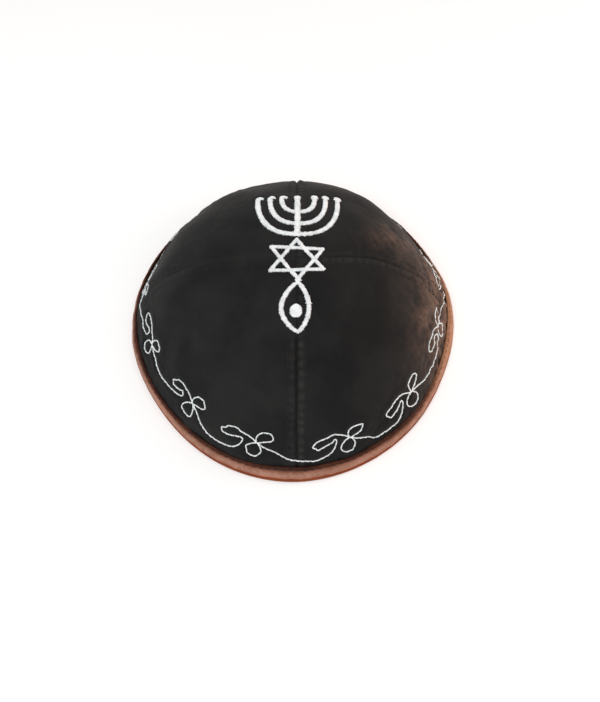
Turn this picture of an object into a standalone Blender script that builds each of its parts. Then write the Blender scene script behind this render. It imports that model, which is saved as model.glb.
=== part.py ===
"""Four-panel suede skullcap with a folded edge binding and a raised emblem.

Metres, +Z up. The origin is the middle of the rim, on the surface that the cap rests on.
The front is at -Y. The emblem stands along the seam that runs from front to back.

Every piece is first made flat and then laid on the dome: a panel as a slab of equal rows and
columns, the binding as a straight-walled ring, and each figure of the emblem as a plate.
"""

import math

import bmesh
import bpy
from mathutils import Vector

COLLECTION = "skullcap"

# Overall size, measured over the edge binding, with the crown's height over the table
WIDTH = 0.167
LENGTH = 0.1735
HEIGHT = 0.046

# Form of the dome: how late the crown turns down, and how far the plan draws in between seams
CROWN_POWER = 3.25
PANEL_DIP = 0.02
DIP_FADE = 4.0
DIP_ROUNDNESS = 1.5

# Suede panels
PANEL_THICKNESS = 0.002
SEAM_GAP = 0.0003
PANEL_ROWS = 15
PANEL_COLUMNS = 12

# Edge binding, folded round the panels' lower edge
BINDING_RISE = 0.0062
BINDING_LINING_RISE = 0.0052
BINDING_THICKNESS = 0.001
BINDING_CLEARANCE = 0.0003

# Emblem, raised over the suede
THREAD_HEIGHT = 0.0008
EMBLEM_CLEARANCE = 0.0003
DRAPE_STEP = 0.0045

# Star: two crossed triangles, measured to the middle of the stitching
STAR_WIDTH = 0.025
STAR_TOP = 0.0104
STAR_UPPER_BAR = 0.006
STAR_LOWER_BAR = 0.0064
STAR_BOTTOM = 0.0114
STAR_STROKE = 0.0016

# Candlestick: a stem and three nested bowls
MENORAH_WIDTH = 0.0405
MENORAH_HEIGHT = 0.0275
MENORAH_STROKE = 0.0024
MENORAH_FOOT_WIDTH = 0.0028
MENORAH_CUP_WIDTH = 0.0042
MENORAH_CUP_HEIGHT = 0.0013
BOWL_ROUNDNESS = 2.5
BOWL_SIDES = 7

# Each bowl's spread as a share of the width, and its floor as a share of the height
BOWLS = (
    {"spread": 1.00, "floor": 0.085},
    {"spread": 0.71, "floor": 0.31},
    {"spread": 0.43, "floor": 0.58},
)

# Fish: a pointed lens with a round eye
FISH_LENGTH = 0.0238
FISH_WIDTH = 0.0146
FISH_STROKE = 0.0021
FISH_FULLNESS = 0.75
FISH_SIDES = 12
EYE_WIDTH = 0.0058
EYE_PLACE = 0.57
EYE_SIDES = 18

# Colours, roughness and metallic share of each material
MATERIALS = {
    "suede": ((0.022, 0.022, 0.022, 1.0), 0.9, 0.0),
    "binding": ((0.32, 0.17, 0.10, 1.0), 0.6, 0.0),
    "thread": ((0.78, 0.81, 0.82, 1.0), 0.35, 0.2),
}

QUARTER = math.pi / 2
SMOOTH_ANGLE = math.radians(40)
TINY = 1e-6

# Steps and limits of the searches on the dome: shares of the way from apex to table
PROBE = 1e-4
SEARCH_START = 0.1
SEARCH_END = 1.4
SEARCH_STEPS = 32
PLAN_STEPS = 6

# Distances of the binding's faces from the outer face of the suede, outwards positive
BINDING_OUTER = BINDING_CLEARANCE + BINDING_THICKNESS
BINDING_INNER = -(PANEL_THICKNESS + BINDING_CLEARANCE + BINDING_THICKNESS)
PANEL_FOOT = BINDING_THICKNESS + BINDING_CLEARANCE


def rim_overhang(half_size):
    """Level distance from the suede's outer face at the table to the binding's outer face."""
    slope = math.atan2(HEIGHT * CROWN_POWER, half_size)
    return BINDING_OUTER / math.sin(slope)


SKIN_HALF_WIDTH = WIDTH / 2 - rim_overhang(WIDTH / 2)
SKIN_HALF_LENGTH = LENGTH / 2 - rim_overhang(LENGTH / 2)


def plan_fill(turn, share):
    """How far the plan reaches at an angle, as a share of its full oval."""
    return 1 - PANEL_DIP * share ** DIP_FADE * abs(math.sin(2 * turn)) ** DIP_ROUNDNESS


def skin(turn, share):
    """Point of the suede's outer face, at an angle and a share of the way from apex to table."""
    reach = share * plan_fill(turn, share)
    return Vector((
        SKIN_HALF_WIDTH * reach * math.cos(turn),
        SKIN_HALF_LENGTH * reach * math.sin(turn),
        HEIGHT * (1 - share ** CROWN_POWER),
    ))


def skin_normal(turn, share):
    """Outward direction of the suede's outer face."""
    if share < 2 * PROBE:
        return Vector((0, 0, 1))
    down = skin(turn, share + PROBE) - skin(turn, share - PROBE)
    around = skin(turn + PROBE, share) - skin(turn - PROBE, share)
    return down.cross(around).normalized()


def skin_point(turn, share, offset):
    """Point at a distance from the suede's outer face, outwards positive."""
    return skin(turn, share) + offset * skin_normal(turn, share)


def share_at_level(turn, offset, level):
    """Share of the way down at which a point off the suede lies at a height over the table."""
    upper, lower = SEARCH_START, SEARCH_END
    for _ in range(SEARCH_STEPS):
        middle = (upper + lower) / 2
        if skin_point(turn, middle, offset).z > level:
            upper = middle
        else:
            lower = middle
    return (upper + lower) / 2


def place_over(x, y):
    """Angle and share of the dome's point that lies under or over a point of the plan."""
    across, along = x / SKIN_HALF_WIDTH, y / SKIN_HALF_LENGTH
    turn = math.atan2(along, across)
    reach = math.hypot(across, along)
    share = reach
    for _ in range(PLAN_STEPS):
        share = reach / plan_fill(turn, share)
    return turn, share


def clear_scene():
    """Remove whatever the file holds."""
    for item in list(bpy.data.objects):
        bpy.data.objects.remove(item, do_unlink=True)


def make_material(name):
    """Plain material with the part's colour, roughness and metallic share."""
    colour, roughness, metallic = MATERIALS[name]
    material = bpy.data.materials.new(name)
    material.use_nodes = True
    shader = material.node_tree.nodes["Principled BSDF"]
    shader.inputs["Base Color"].default_value = colour
    shader.inputs["Roughness"].default_value = roughness
    shader.inputs["Metallic"].default_value = metallic
    return material


def evaluated_mesh(item):
    """Mesh of an object with its modifiers worked out."""
    graph = bpy.context.evaluated_depsgraph_get()
    return bpy.data.meshes.new_from_object(item.evaluated_get(graph))


def replace_mesh(item, mesh):
    """Give an object the mesh that its modifiers made, and drop the modifiers."""
    item.modifiers.clear()
    item.data = mesh


def reshape(item, mapping):
    """Move every vertex by a rule, weld what then meets, and turn the faces out."""
    work = bmesh.new()
    work.from_mesh(item.data)
    for vertex in work.verts:
        vertex.co = mapping(vertex.co)
    bmesh.ops.remove_doubles(work, verts=work.verts, dist=TINY)
    bmesh.ops.dissolve_degenerate(work, edges=work.edges, dist=TINY)
    bmesh.ops.recalc_face_normals(work, faces=work.faces)
    work.to_mesh(item.data)
    work.free()


def finish(item, material):
    """Dress a piece and shade its round faces smooth."""
    item.data.materials.clear()
    item.data.materials.append(material)
    item.data.shade_smooth()
    item.data.set_sharp_from_angle(angle=SMOOTH_ANGLE)
    return item


def new_object(name, mesh, collection):
    """Link a mesh into the collection as a named object."""
    mesh.name = name
    item = bpy.data.objects.new(name, mesh)
    collection.objects.link(item)
    return item


def build_panel(name, quarter, material, collection):
    """One suede gore, laid over a quarter of the dome with half a seam's gap at each side."""
    work = bmesh.new()
    bmesh.ops.create_grid(work, x_segments=PANEL_COLUMNS, y_segments=PANEL_ROWS, size=0.5)
    mesh = bpy.data.meshes.new(name)
    work.to_mesh(mesh)
    work.free()
    panel = new_object(name, mesh, collection)
    cloth = panel.modifiers.new("cloth", "SOLIDIFY")
    cloth.thickness = PANEL_THICKNESS
    cloth.offset = -1
    replace_mesh(panel, evaluated_mesh(panel))

    middle = (quarter + 0.5) * QUARTER
    shift = Vector((
        math.copysign(SEAM_GAP / 2, math.cos(middle)),
        math.copysign(SEAM_GAP / 2, math.sin(middle)),
        0,
    ))

    def lay(point):
        turn = (quarter + point.x + 0.5) * QUARTER
        foot = share_at_level(turn, point.z, PANEL_FOOT)
        return skin_point(turn, (point.y + 0.5) * foot, point.z) + shift

    reshape(panel, lay)
    return finish(panel, material)


def binding_section():
    """Closed section of the folded binding: distance from the suede's face, and height."""
    outer, inner = BINDING_OUTER, BINDING_INNER
    outer_fold = BINDING_CLEARANCE
    inner_fold = -(PANEL_THICKNESS + BINDING_CLEARANCE)
    floor = BINDING_THICKNESS
    return [
        (outer, BINDING_RISE),
        (outer, BINDING_RISE / 2),
        (outer, 0),
        (inner, 0),
        (inner, BINDING_LINING_RISE / 2),
        (inner, BINDING_LINING_RISE),
        (inner_fold, BINDING_LINING_RISE),
        (inner_fold, BINDING_LINING_RISE / 2),
        (inner_fold, floor),
        (outer_fold, floor),
        (outer_fold, BINDING_RISE / 2),
        (outer_fold, BINDING_RISE),
    ]


def build_binding(material, collection):
    """The binding's ring: its section turned once round, then laid against the panels."""
    radius = WIDTH / 2
    points = [(radius + offset, 0, level) for offset, level in binding_section()]
    edges = [(index, (index + 1) % len(points)) for index in range(len(points))]
    mesh = bpy.data.meshes.new("edge_binding")
    mesh.from_pydata(points, edges, [])
    binding = new_object("edge_binding", mesh, collection)
    ring = binding.modifiers.new("ring", "SCREW")
    ring.axis = "Z"
    ring.angle = 4 * QUARTER
    ring.steps = 4 * PANEL_COLUMNS
    ring.render_steps = ring.steps
    ring.use_merge_vertices = True
    ring.merge_threshold = TINY
    replace_mesh(binding, evaluated_mesh(binding))

    def lay(point):
        turn = math.atan2(point.y, point.x)
        offset = math.hypot(point.x, point.y) - radius
        return skin_point(turn, share_at_level(turn, offset, point.z), offset)

    reshape(binding, lay)
    return finish(binding, material)


def flat_plate(name, outlines, collection):
    """A flat plate of thread, cut out by closed outlines in plan."""
    curve = bpy.data.curves.new(name, "CURVE")
    curve.dimensions = "2D"
    curve.fill_mode = "BOTH"
    curve.extrude = THREAD_HEIGHT / 2
    for outline in outlines:
        spline = curve.splines.new("POLY")
        spline.points.add(len(outline) - 1)
        for point, (x, y) in zip(spline.points, outline):
            point.co = (x, y, 0, 1)
        spline.use_cyclic_u = True
    shape = bpy.data.objects.new(name, curve)
    collection.objects.link(shape)
    mesh = evaluated_mesh(shape)
    bpy.data.objects.remove(shape, do_unlink=True)
    work = bmesh.new()
    work.from_mesh(mesh)
    bmesh.ops.remove_doubles(work, verts=work.verts, dist=TINY)
    bmesh.ops.recalc_face_normals(work, faces=work.faces)
    work.to_mesh(mesh)
    work.free()
    return new_object(name, mesh, collection)


def join_plates(plates):
    """Fuse plates into the first of them."""
    body = plates[0]
    for plate in plates[1:]:
        union = body.modifiers.new("union", "BOOLEAN")
        union.operation = "UNION"
        union.solver = "EXACT"
        union.object = plate
        replace_mesh(body, evaluated_mesh(body))
        bpy.data.objects.remove(plate, do_unlink=True)
    return body


def slice_plate(item):
    """Cut a plate along a square grid, so that it can bend, and split it into triangles."""
    work = bmesh.new()
    work.from_mesh(item.data)
    for axis in (0, 1):
        normal = Vector((1, 0, 0)) if axis == 0 else Vector((0, 1, 0))
        low = min(vertex.co[axis] for vertex in work.verts)
        high = max(vertex.co[axis] for vertex in work.verts)
        for line in range(math.ceil(low / DRAPE_STEP), math.floor(high / DRAPE_STEP) + 1):
            everything = work.verts[:] + work.edges[:] + work.faces[:]
            bmesh.ops.bisect_plane(
                work, geom=everything, plane_co=normal * (line * DRAPE_STEP), plane_no=normal, dist=TINY)
    bmesh.ops.triangulate(work, faces=work.faces)
    work.to_mesh(item.data)
    work.free()


def drape(item, material):
    """Lay a flat plate on the dome, clear of the suede."""
    slice_plate(item)
    middle = EMBLEM_CLEARANCE + THREAD_HEIGHT / 2

    def lay(point):
        turn, share = place_over(point.x, point.y)
        return skin_point(turn, share, middle + point.z)

    reshape(item, lay)
    return finish(item, material)


def band_corners(corners, stroke):
    """Outer and inner outline of a closed band of triangle form, with its middle on the corners."""
    count = len(corners)
    outlines = []
    for side in (0.5, -0.5):
        outline = []
        for index, corner in enumerate(corners):
            before = (Vector(corners[index - 1]) - Vector(corner)).normalized()
            after = (Vector(corners[(index + 1) % count]) - Vector(corner)).normalized()
            half_angle = before.angle(after) / 2
            outward = -(before + after).normalized()
            outline.append(Vector(corner) + outward * (side * stroke / math.sin(half_angle)))
        outlines.append(outline)
    return outlines


def star_triangles():
    """The star's two triangles, pointing to the back and to the front."""
    half = STAR_WIDTH / 2
    return (
        ((0, STAR_TOP), (-half, -STAR_LOWER_BAR), (half, -STAR_LOWER_BAR)),
        ((0, -STAR_BOTTOM), (half, STAR_UPPER_BAR), (-half, STAR_UPPER_BAR)),
    )


def star_reach(triangle):
    """Distance from the apex to the outer tip of a triangle's first corner."""
    return abs(band_corners(triangle, STAR_STROKE)[0][0].y)


def build_star(material, collection):
    """Six-pointed star of two crossed triangles."""
    upright, inverted = star_triangles()
    plates = [
        flat_plate("emblem_star", band_corners(upright, STAR_STROKE), collection),
        flat_plate("star_tool", band_corners(inverted, STAR_STROKE), collection),
    ]
    return drape(join_plates(plates), material)


def bowl_outline(half_spread, top, floor):
    """Closed outline of one bowl: two arms that rise from a round floor."""
    outline = []
    for side in (0.5, -0.5):
        width = half_spread + side * MENORAH_STROKE
        depth = top - floor + side * MENORAH_STROKE
        steps = range(-BOWL_SIDES, BOWL_SIDES + 1)
        turns = [QUARTER * step / BOWL_SIDES for step in steps]
        arc = [
            (
                math.copysign(width * abs(math.sin(turn)) ** (2 / BOWL_ROUNDNESS), turn),
                top - depth * math.cos(turn) ** (2 / BOWL_ROUNDNESS) if abs(turn) < QUARTER - TINY else top,
            )
            for turn in turns
        ]
        outline += arc if side > 0 else arc[::-1]
    return outline


def box_outline(x, width, low, high):
    """Outline of an upright bar."""
    return [(x - width / 2, low), (x + width / 2, low), (x + width / 2, high), (x - width / 2, high)]


def build_menorah(material, collection):
    """Seven-branched candlestick: a stem, three nested bowls and a cup on every branch."""
    foot = star_reach(star_triangles()[0]) + EMBLEM_CLEARANCE
    top = foot + MENORAH_HEIGHT
    plates = [flat_plate("emblem_menorah", [box_outline(0, MENORAH_FOOT_WIDTH, foot, top)], collection)]
    branches = [0.0]
    for bowl in BOWLS:
        half_spread = bowl["spread"] * (MENORAH_WIDTH - MENORAH_STROKE) / 2
        floor = foot + bowl["floor"] * MENORAH_HEIGHT
        plates.append(flat_plate("bowl_tool", [bowl_outline(half_spread, top, floor)], collection))
        branches += [-half_spread, half_spread]
    for x in branches:
        cup = box_outline(x, MENORAH_CUP_WIDTH, top - MENORAH_CUP_HEIGHT / 2, top + MENORAH_CUP_HEIGHT / 2)
        plates.append(flat_plate("cup_tool", [cup], collection))
    return drape(join_plates(plates), material)


def lens_outline(middle, length, width):
    """Outline of a pointed lens that lies along the front-to-back seam."""
    outline = []
    for side in (1, -1):
        for step in range(FISH_SIDES):
            share = step / FISH_SIDES if side > 0 else 1 - step / FISH_SIDES
            bulge = math.sin(math.pi * share) ** FISH_FULLNESS if 0 < share < 1 else 0
            outline.append((side * width / 2 * bulge, middle + length * (0.5 - share)))
    return outline


def fish_nose():
    """Distance from the apex to the end of the fish that meets the star."""
    return star_reach(star_triangles()[1]) + EMBLEM_CLEARANCE


def build_fish(material, collection):
    """Fish outline: one lens cut out of another."""
    middle = -(fish_nose() + FISH_LENGTH / 2)
    tip_stroke = FISH_STROKE * FISH_LENGTH / FISH_WIDTH
    outlines = [
        lens_outline(middle, FISH_LENGTH, FISH_WIDTH),
        lens_outline(middle, FISH_LENGTH - 2 * tip_stroke, FISH_WIDTH - 2 * FISH_STROKE),
    ]
    return drape(flat_plate("emblem_fish", outlines, collection), material)


def build_eye(material, collection):
    """The fish's round eye."""
    middle = -(fish_nose() + EYE_PLACE * FISH_LENGTH)
    turns = [2 * math.pi * step / EYE_SIDES for step in range(EYE_SIDES)]
    circle = [
        (EYE_WIDTH / 2 * math.cos(turn), middle + EYE_WIDTH / 2 * math.sin(turn)) for turn in turns
    ]
    return drape(flat_plate("emblem_eye", [circle], collection), material)


def main():
    """Build the cap."""
    clear_scene()
    collection = bpy.data.collections.new(COLLECTION)
    bpy.context.scene.collection.children.link(collection)
    suede, leather, thread = (make_material(name) for name in ("suede", "binding", "thread"))
    panels = ("panel_back_right", "panel_back_left", "panel_front_left", "panel_front_right")
    for quarter, name in enumerate(panels):
        build_panel(name, quarter, suede, collection)
    build_binding(leather, collection)
    build_star(thread, collection)
    build_menorah(thread, collection)
    build_fish(thread, collection)
    build_eye(thread, collection)


if __name__ == "__main__":
    main()
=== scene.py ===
"""Looks of a suede skullcap with a folded leather edge and silver embroidery.

Every piece is laid over one soft dome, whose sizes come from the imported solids. Lengths are in metres.
"""

import logging
import math
from dataclasses import dataclass, field
from enum import Enum
from functools import cached_property

import bpy
import numpy as np
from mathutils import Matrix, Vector
from mathutils.kdtree import KDTree


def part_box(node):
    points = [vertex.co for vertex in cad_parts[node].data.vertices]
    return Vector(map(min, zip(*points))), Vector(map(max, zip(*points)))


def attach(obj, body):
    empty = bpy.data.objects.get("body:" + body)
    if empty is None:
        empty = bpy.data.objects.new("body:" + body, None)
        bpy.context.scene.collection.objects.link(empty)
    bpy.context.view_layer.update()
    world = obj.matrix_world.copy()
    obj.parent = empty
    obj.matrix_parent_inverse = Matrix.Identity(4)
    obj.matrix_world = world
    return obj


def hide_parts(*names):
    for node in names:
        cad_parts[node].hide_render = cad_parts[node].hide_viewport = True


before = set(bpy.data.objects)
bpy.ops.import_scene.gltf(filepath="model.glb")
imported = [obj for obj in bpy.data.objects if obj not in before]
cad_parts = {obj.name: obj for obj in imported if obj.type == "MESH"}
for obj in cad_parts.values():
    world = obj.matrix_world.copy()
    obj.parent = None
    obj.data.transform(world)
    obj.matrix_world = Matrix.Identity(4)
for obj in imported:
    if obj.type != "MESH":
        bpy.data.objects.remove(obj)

LOG = logging.getLogger("skullcap")
MM = 0.001
TAU = 2 * math.pi
QUARTER_TURN = math.pi / 2
TINY = 1e-12
BODY = "root"
Array = np.ndarray
Colour = tuple[float, float, float]
Point = tuple[float, float, float]
Places = tuple[tuple[float, float], ...]


class Slot(Enum):
    """Material slots: suede, binding and thread."""

    SUEDE = "suede"
    BINDING = "binding"
    THREAD = "thread"


class Gore(Enum):
    """The four suede gores: the quarter turn at which each starts, and a factor on its colours that paints
    the light and shade its nap shows.
    """

    BACK_RIGHT = ("panel_back_right", 0, 1.05)
    BACK_LEFT = ("panel_back_left", 1, 0.92)
    FRONT_LEFT = ("panel_front_left", 2, 0.94)
    FRONT_RIGHT = ("panel_front_right", 3, 0.76)

    @property
    def node(self) -> str:
        """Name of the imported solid."""
        return self.value[0]

    @property
    def start(self) -> float:
        """Turn of the gore's first seam."""
        return self.value[1] * QUARTER_TURN

    @property
    def shade(self) -> float:
        """Painted light and shade of its nap, as a factor on its colours."""
        return self.value[2]


def linear(red: float, green: float, blue: float) -> Colour:
    """Turns a screen colour of 0 to 255 into the linear colour that a shader takes.

    Args:
        red: Red on screen.
        green: Green on screen.
        blue: Blue on screen.

    Returns:
        The linear colour.
    """
    return tuple(
        (part / 255 / 12.92) if part <= 10 else ((part / 255 + 0.055) / 1.055) ** 2.4
        for part in (red, green, blue)
    )


def bell(gap: Array, width: float) -> Array:
    """Soft hump of height 1 at gap 0."""
    return np.exp(-((gap / width) ** 2))


def smooth_rise(value: Array, low: float, high: float) -> Array:
    """Runs smoothly from 0 at low to 1 at high."""
    part = np.clip((value - low) / (high - low), 0, 1)
    return part * part * (3 - 2 * part)


def degrees_from(turn: Array, middle: float) -> Array:
    """Degrees from a middle turn, itself in degrees, to turns in radians, between -180 and 180."""
    return np.degrees((turn - math.radians(middle) + math.pi) % TAU - math.pi)


def spline(points: Array, steps: int) -> Array:
    """Draws a smooth closed line through points.

    Args:
        points: The points, one row each.
        steps: Pieces between two points.

    Returns:
        The points of the line, which doesn't repeat its first point.
    """
    count = len(points)
    part = np.linspace(0, 1, steps, endpoint=False)[:, None]
    rows = []
    for span in range(count):
        a, b, c, d = (points[(span + shift) % count] for shift in (-1, 0, 1, 2))
        rows.append(
            0.5 * (2 * b + (c - a) * part + (2 * a - 5 * b + 4 * c - d) * part**2
                   + (3 * b - a - 3 * c + d) * part**3)
        )
    return np.concatenate(rows)


def run_along(line: Array) -> Array:
    """Lengths along a line from its start to each of its points."""
    return np.concatenate([[0], np.cumsum(np.linalg.norm(np.diff(line, axis=0), axis=1))])


def points_at(line: Array, run: Array, places: Array) -> Array:
    """Points of a line at lengths from its start. The run holds the lengths to its own points."""
    return np.stack([np.interp(places, run, line[:, axis]) for axis in range(line.shape[1])], -1)


def spaced(points: Array, pitch: float, closed: bool = False) -> Array:
    """Spaces points evenly along a line.

    Args:
        points: The points of the line.
        pitch: The wanted distance between two points.
        closed: Whether the line comes back to its start.

    Returns:
        The evenly spaced points.
    """
    line = np.concatenate([points, points[:1]]) if closed else points
    run = run_along(line)
    marks = np.linspace(0, run[-1], max(2, round(run[-1] / pitch)) + 1)
    return points_at(line, run, marks[:-1] if closed else marks)


def arch(part: Array, height: float, fullness: float, sink: float) -> Array:
    """Height of a stitch over the suede. A small fullness makes it flat-topped, and its ends sink."""
    return height * np.sin(math.pi * part) ** fullness - sink


def unit(vectors: Array) -> Array:
    """Vectors brought to length 1."""
    return vectors / np.maximum(np.linalg.norm(vectors, axis=-1, keepdims=True), TINY)


@dataclass(frozen=True)
class Waves:
    """Smooth unevenness made of seeded waves."""

    seed: int
    shortest: float
    longest: float
    count: int = 28

    def at(self, points: Array) -> Array:
        """Height of the waves, with a mean size of about 1.

        Args:
            points: Places in space.

        Returns:
            One height for each place.
        """
        draw = np.random.default_rng(self.seed)
        total = np.zeros(points.shape[:-1])
        for _ in range(self.count):
            length = draw.uniform(self.shortest, self.longest)
            heading = unit(draw.normal(size=3))
            total += np.sin(points @ heading * (TAU / length) + draw.uniform(0, TAU))
        return total * math.sqrt(2 / self.count)


@dataclass(frozen=True)
class DomeForm:
    """Smooth skin of the gores' outer faces. A share runs from 0 at the apex to 1 at the table."""

    half_width: float
    half_length: float
    height: float
    power: float = 3.25
    dip: float = 0.02
    dip_fade: float = 4.0
    dip_roundness: float = 1.5
    probe: float = 1e-4
    wall_points: int = 801
    plan_rounds: int = 6
    level_rounds: int = 8

    @classmethod
    def from_frame(cls, binding_reach: float = 1.3 * MM) -> "DomeForm":
        """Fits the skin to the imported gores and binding.

        Args:
            binding_reach: How far the binding's outer face stands off the skin.

        Returns:
            The skin.
        """
        low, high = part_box("edge_binding")
        height = max(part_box(gore.node)[1].z for gore in Gore)
        halves = []
        for half in ((high.x - low.x) / 2, (high.y - low.y) / 2):
            halves.append(half - binding_reach / math.sin(math.atan2(height * cls.power, half)))
        return cls(halves[0], halves[1], height)

    @property
    def mean_half(self) -> float:
        """Mean of the plan's half width and half length."""
        return (self.half_width + self.half_length) / 2

    @property
    def wall_length(self) -> float:
        """Length of the wall from apex to table."""
        return self.wall[1][-1]

    def fill(self, share: Array, turn: Array) -> Array:
        """How much of its oval the plan fills."""
        return 1 - self.dip * share**self.dip_fade * np.abs(np.sin(2 * turn)) ** self.dip_roundness

    def skin(self, share: Array, turn: Array) -> Array:
        """Points of the skin.

        Args:
            share: Shares of the way from apex to table.
            turn: Angles from the right, counter-clockwise.

        Returns:
            One point for each pair.
        """
        reach = share * self.fill(share, turn)
        return np.stack(
            [
                self.half_width * reach * np.cos(turn),
                self.half_length * reach * np.sin(turn),
                self.height * (1 - share**self.power) + 0 * turn,
            ],
            -1,
        )

    def normal(self, share: Array, turn: Array) -> Array:
        """Outward directions of the skin.

        Args:
            share: Shares of the way from apex to table.
            turn: Angles from the right.

        Returns:
            One direction of length 1 for each pair.
        """
        near = np.maximum(share - self.probe, 0)
        down = self.skin(share + self.probe, turn) - self.skin(near, turn)
        around = self.skin(share, turn + self.probe) - self.skin(share, turn - self.probe)
        out = np.cross(down, around)
        out = np.where((share < 2 * self.probe)[..., None], np.array([0.0, 0.0, 1.0]), out)
        return unit(out)

    def over(self, x: Array, y: Array) -> tuple[Array, Array]:
        """Share and turn of the skin under points of the plan.

        Args:
            x: Places to the right.
            y: Places to the back.

        Returns:
            The shares and the turns.
        """
        across, along = x / self.half_width, y / self.half_length
        turn, reach = np.arctan2(along, across), np.hypot(across, along)
        share = reach
        for _ in range(self.plan_rounds):
            share = reach / self.fill(share, turn)
        return share, turn

    @cached_property
    def wall(self) -> tuple[Array, Array]:
        """Length of the wall at many shares.

        Returns:
            The shares, and the lengths of wall from the apex down to them.
        """
        share = np.linspace(0, 1, self.wall_points)
        slope = np.hypot(self.mean_half, self.height * self.power * share ** (self.power - 1))
        return share, np.concatenate([[0], np.cumsum((slope[1:] + slope[:-1]) / 2 * np.diff(share))])

    def share_at_run(self, run: Array) -> Array:
        """Shares at lengths of wall down from the apex."""
        return np.interp(run, self.wall[1], self.wall[0])

    def run_at_share(self, share: Array | float) -> Array:
        """Lengths of wall from the apex down to shares."""
        return np.interp(share, self.wall[0], self.wall[1])

    def share_at_rise(self, rise: Array) -> Array:
        """Shares at lengths of wall up from the table."""
        return self.share_at_run(self.wall_length - rise)

    def rise_at_share(self, share: Array) -> Array:
        """Lengths of wall from the table up to shares."""
        return self.wall_length - self.run_at_share(share)

    def share_at_level(self, turn: Array, offset: Array, level: Array) -> Array:
        """Share at which a point off the skin lies at a height over the table.

        Args:
            turn: Angles from the right.
            offset: Distances from the skin, outwards positive.
            level: Heights over the table.

        Returns:
            The shares.
        """
        share = (1 - level / self.height) ** (1 / self.power) + 0 * turn
        for _ in range(self.level_rounds):
            rise = level - offset * self.normal(share, turn)[..., 2]
            share = np.maximum(1 - rise / self.height, TINY) ** (1 / self.power)
        return share

    def plan_box(self, node: str, stands: float = 1.1 * MM) -> tuple[float, float, float, float]:
        """Plan outline of a draped solid, brought back to the skin under it.

        Args:
            node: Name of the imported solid.
            stands: How far its top face stands off the skin.

        Returns:
            Its left, right, front and back.
        """
        low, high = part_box(node)
        middle = ((low.x + high.x) / 2, (low.y + high.y) / 2)
        edges = []
        sides = (
            (low.x, middle[1], 0), (high.x, middle[1], 0),
            (middle[0], low.y, 1), (middle[0], high.y, 1),
        )
        for x, y, axis in sides:
            share, turn = self.over(np.array([x]), np.array([y]))
            edges.append((x, y)[axis] - stands * self.normal(share, turn)[0, axis])
        return tuple(edges)


@dataclass
class StitchPull:
    """Dent and puff that a line of stitches draws into the suede round it."""

    points: Array
    reach: float
    depth: float
    width: float
    puff: float
    puff_place: float
    puff_width: float = 1.3 * MM
    tree: KDTree = field(init=False, repr=False)

    def __post_init__(self) -> None:
        """Sorts the stitches' points for quick search."""
        self.tree = KDTree(len(self.points))
        for index, point in enumerate(self.points):
            self.tree.insert(point, index)
        self.tree.balance()

    def at(self, skin: Array) -> tuple[Array, Array]:
        """Height of the suede near the stitches.

        Args:
            skin: Points of the smooth skin.

        Returns:
            The change of height, and how close each point is to the stitches from 0 to 1.
        """
        flat = skin.reshape(-1, 3)
        gap = np.fromiter((self.tree.find(point)[2] for point in flat), float, len(flat))
        gap = np.maximum(gap - self.reach, 0).reshape(skin.shape[:-1])
        near = bell(gap, self.width)
        return self.puff * bell(gap - self.puff_place, self.puff_width) - self.depth * near, near


@dataclass(frozen=True)
class Swell:
    """A soft rise or dent of the suede. Turns are in degrees, and rises up the wall in millimetres."""

    turn: float
    rise: float
    half_turn: float
    half_rise: float
    height: float

    def at(self, turn: Array, rise: Array) -> Array:
        """Strength of the swell, which is its height at its middle."""
        around = bell(degrees_from(turn, self.turn), self.half_turn)
        return self.height * around * bell(rise / MM - self.rise, self.half_rise)


def strength(swells: tuple[Swell, ...], turn: Array, rise: Array) -> Array:
    """Sum of the strengths of several swells at places on the wall."""
    return sum(swell.at(turn, rise) for swell in swells)


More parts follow.
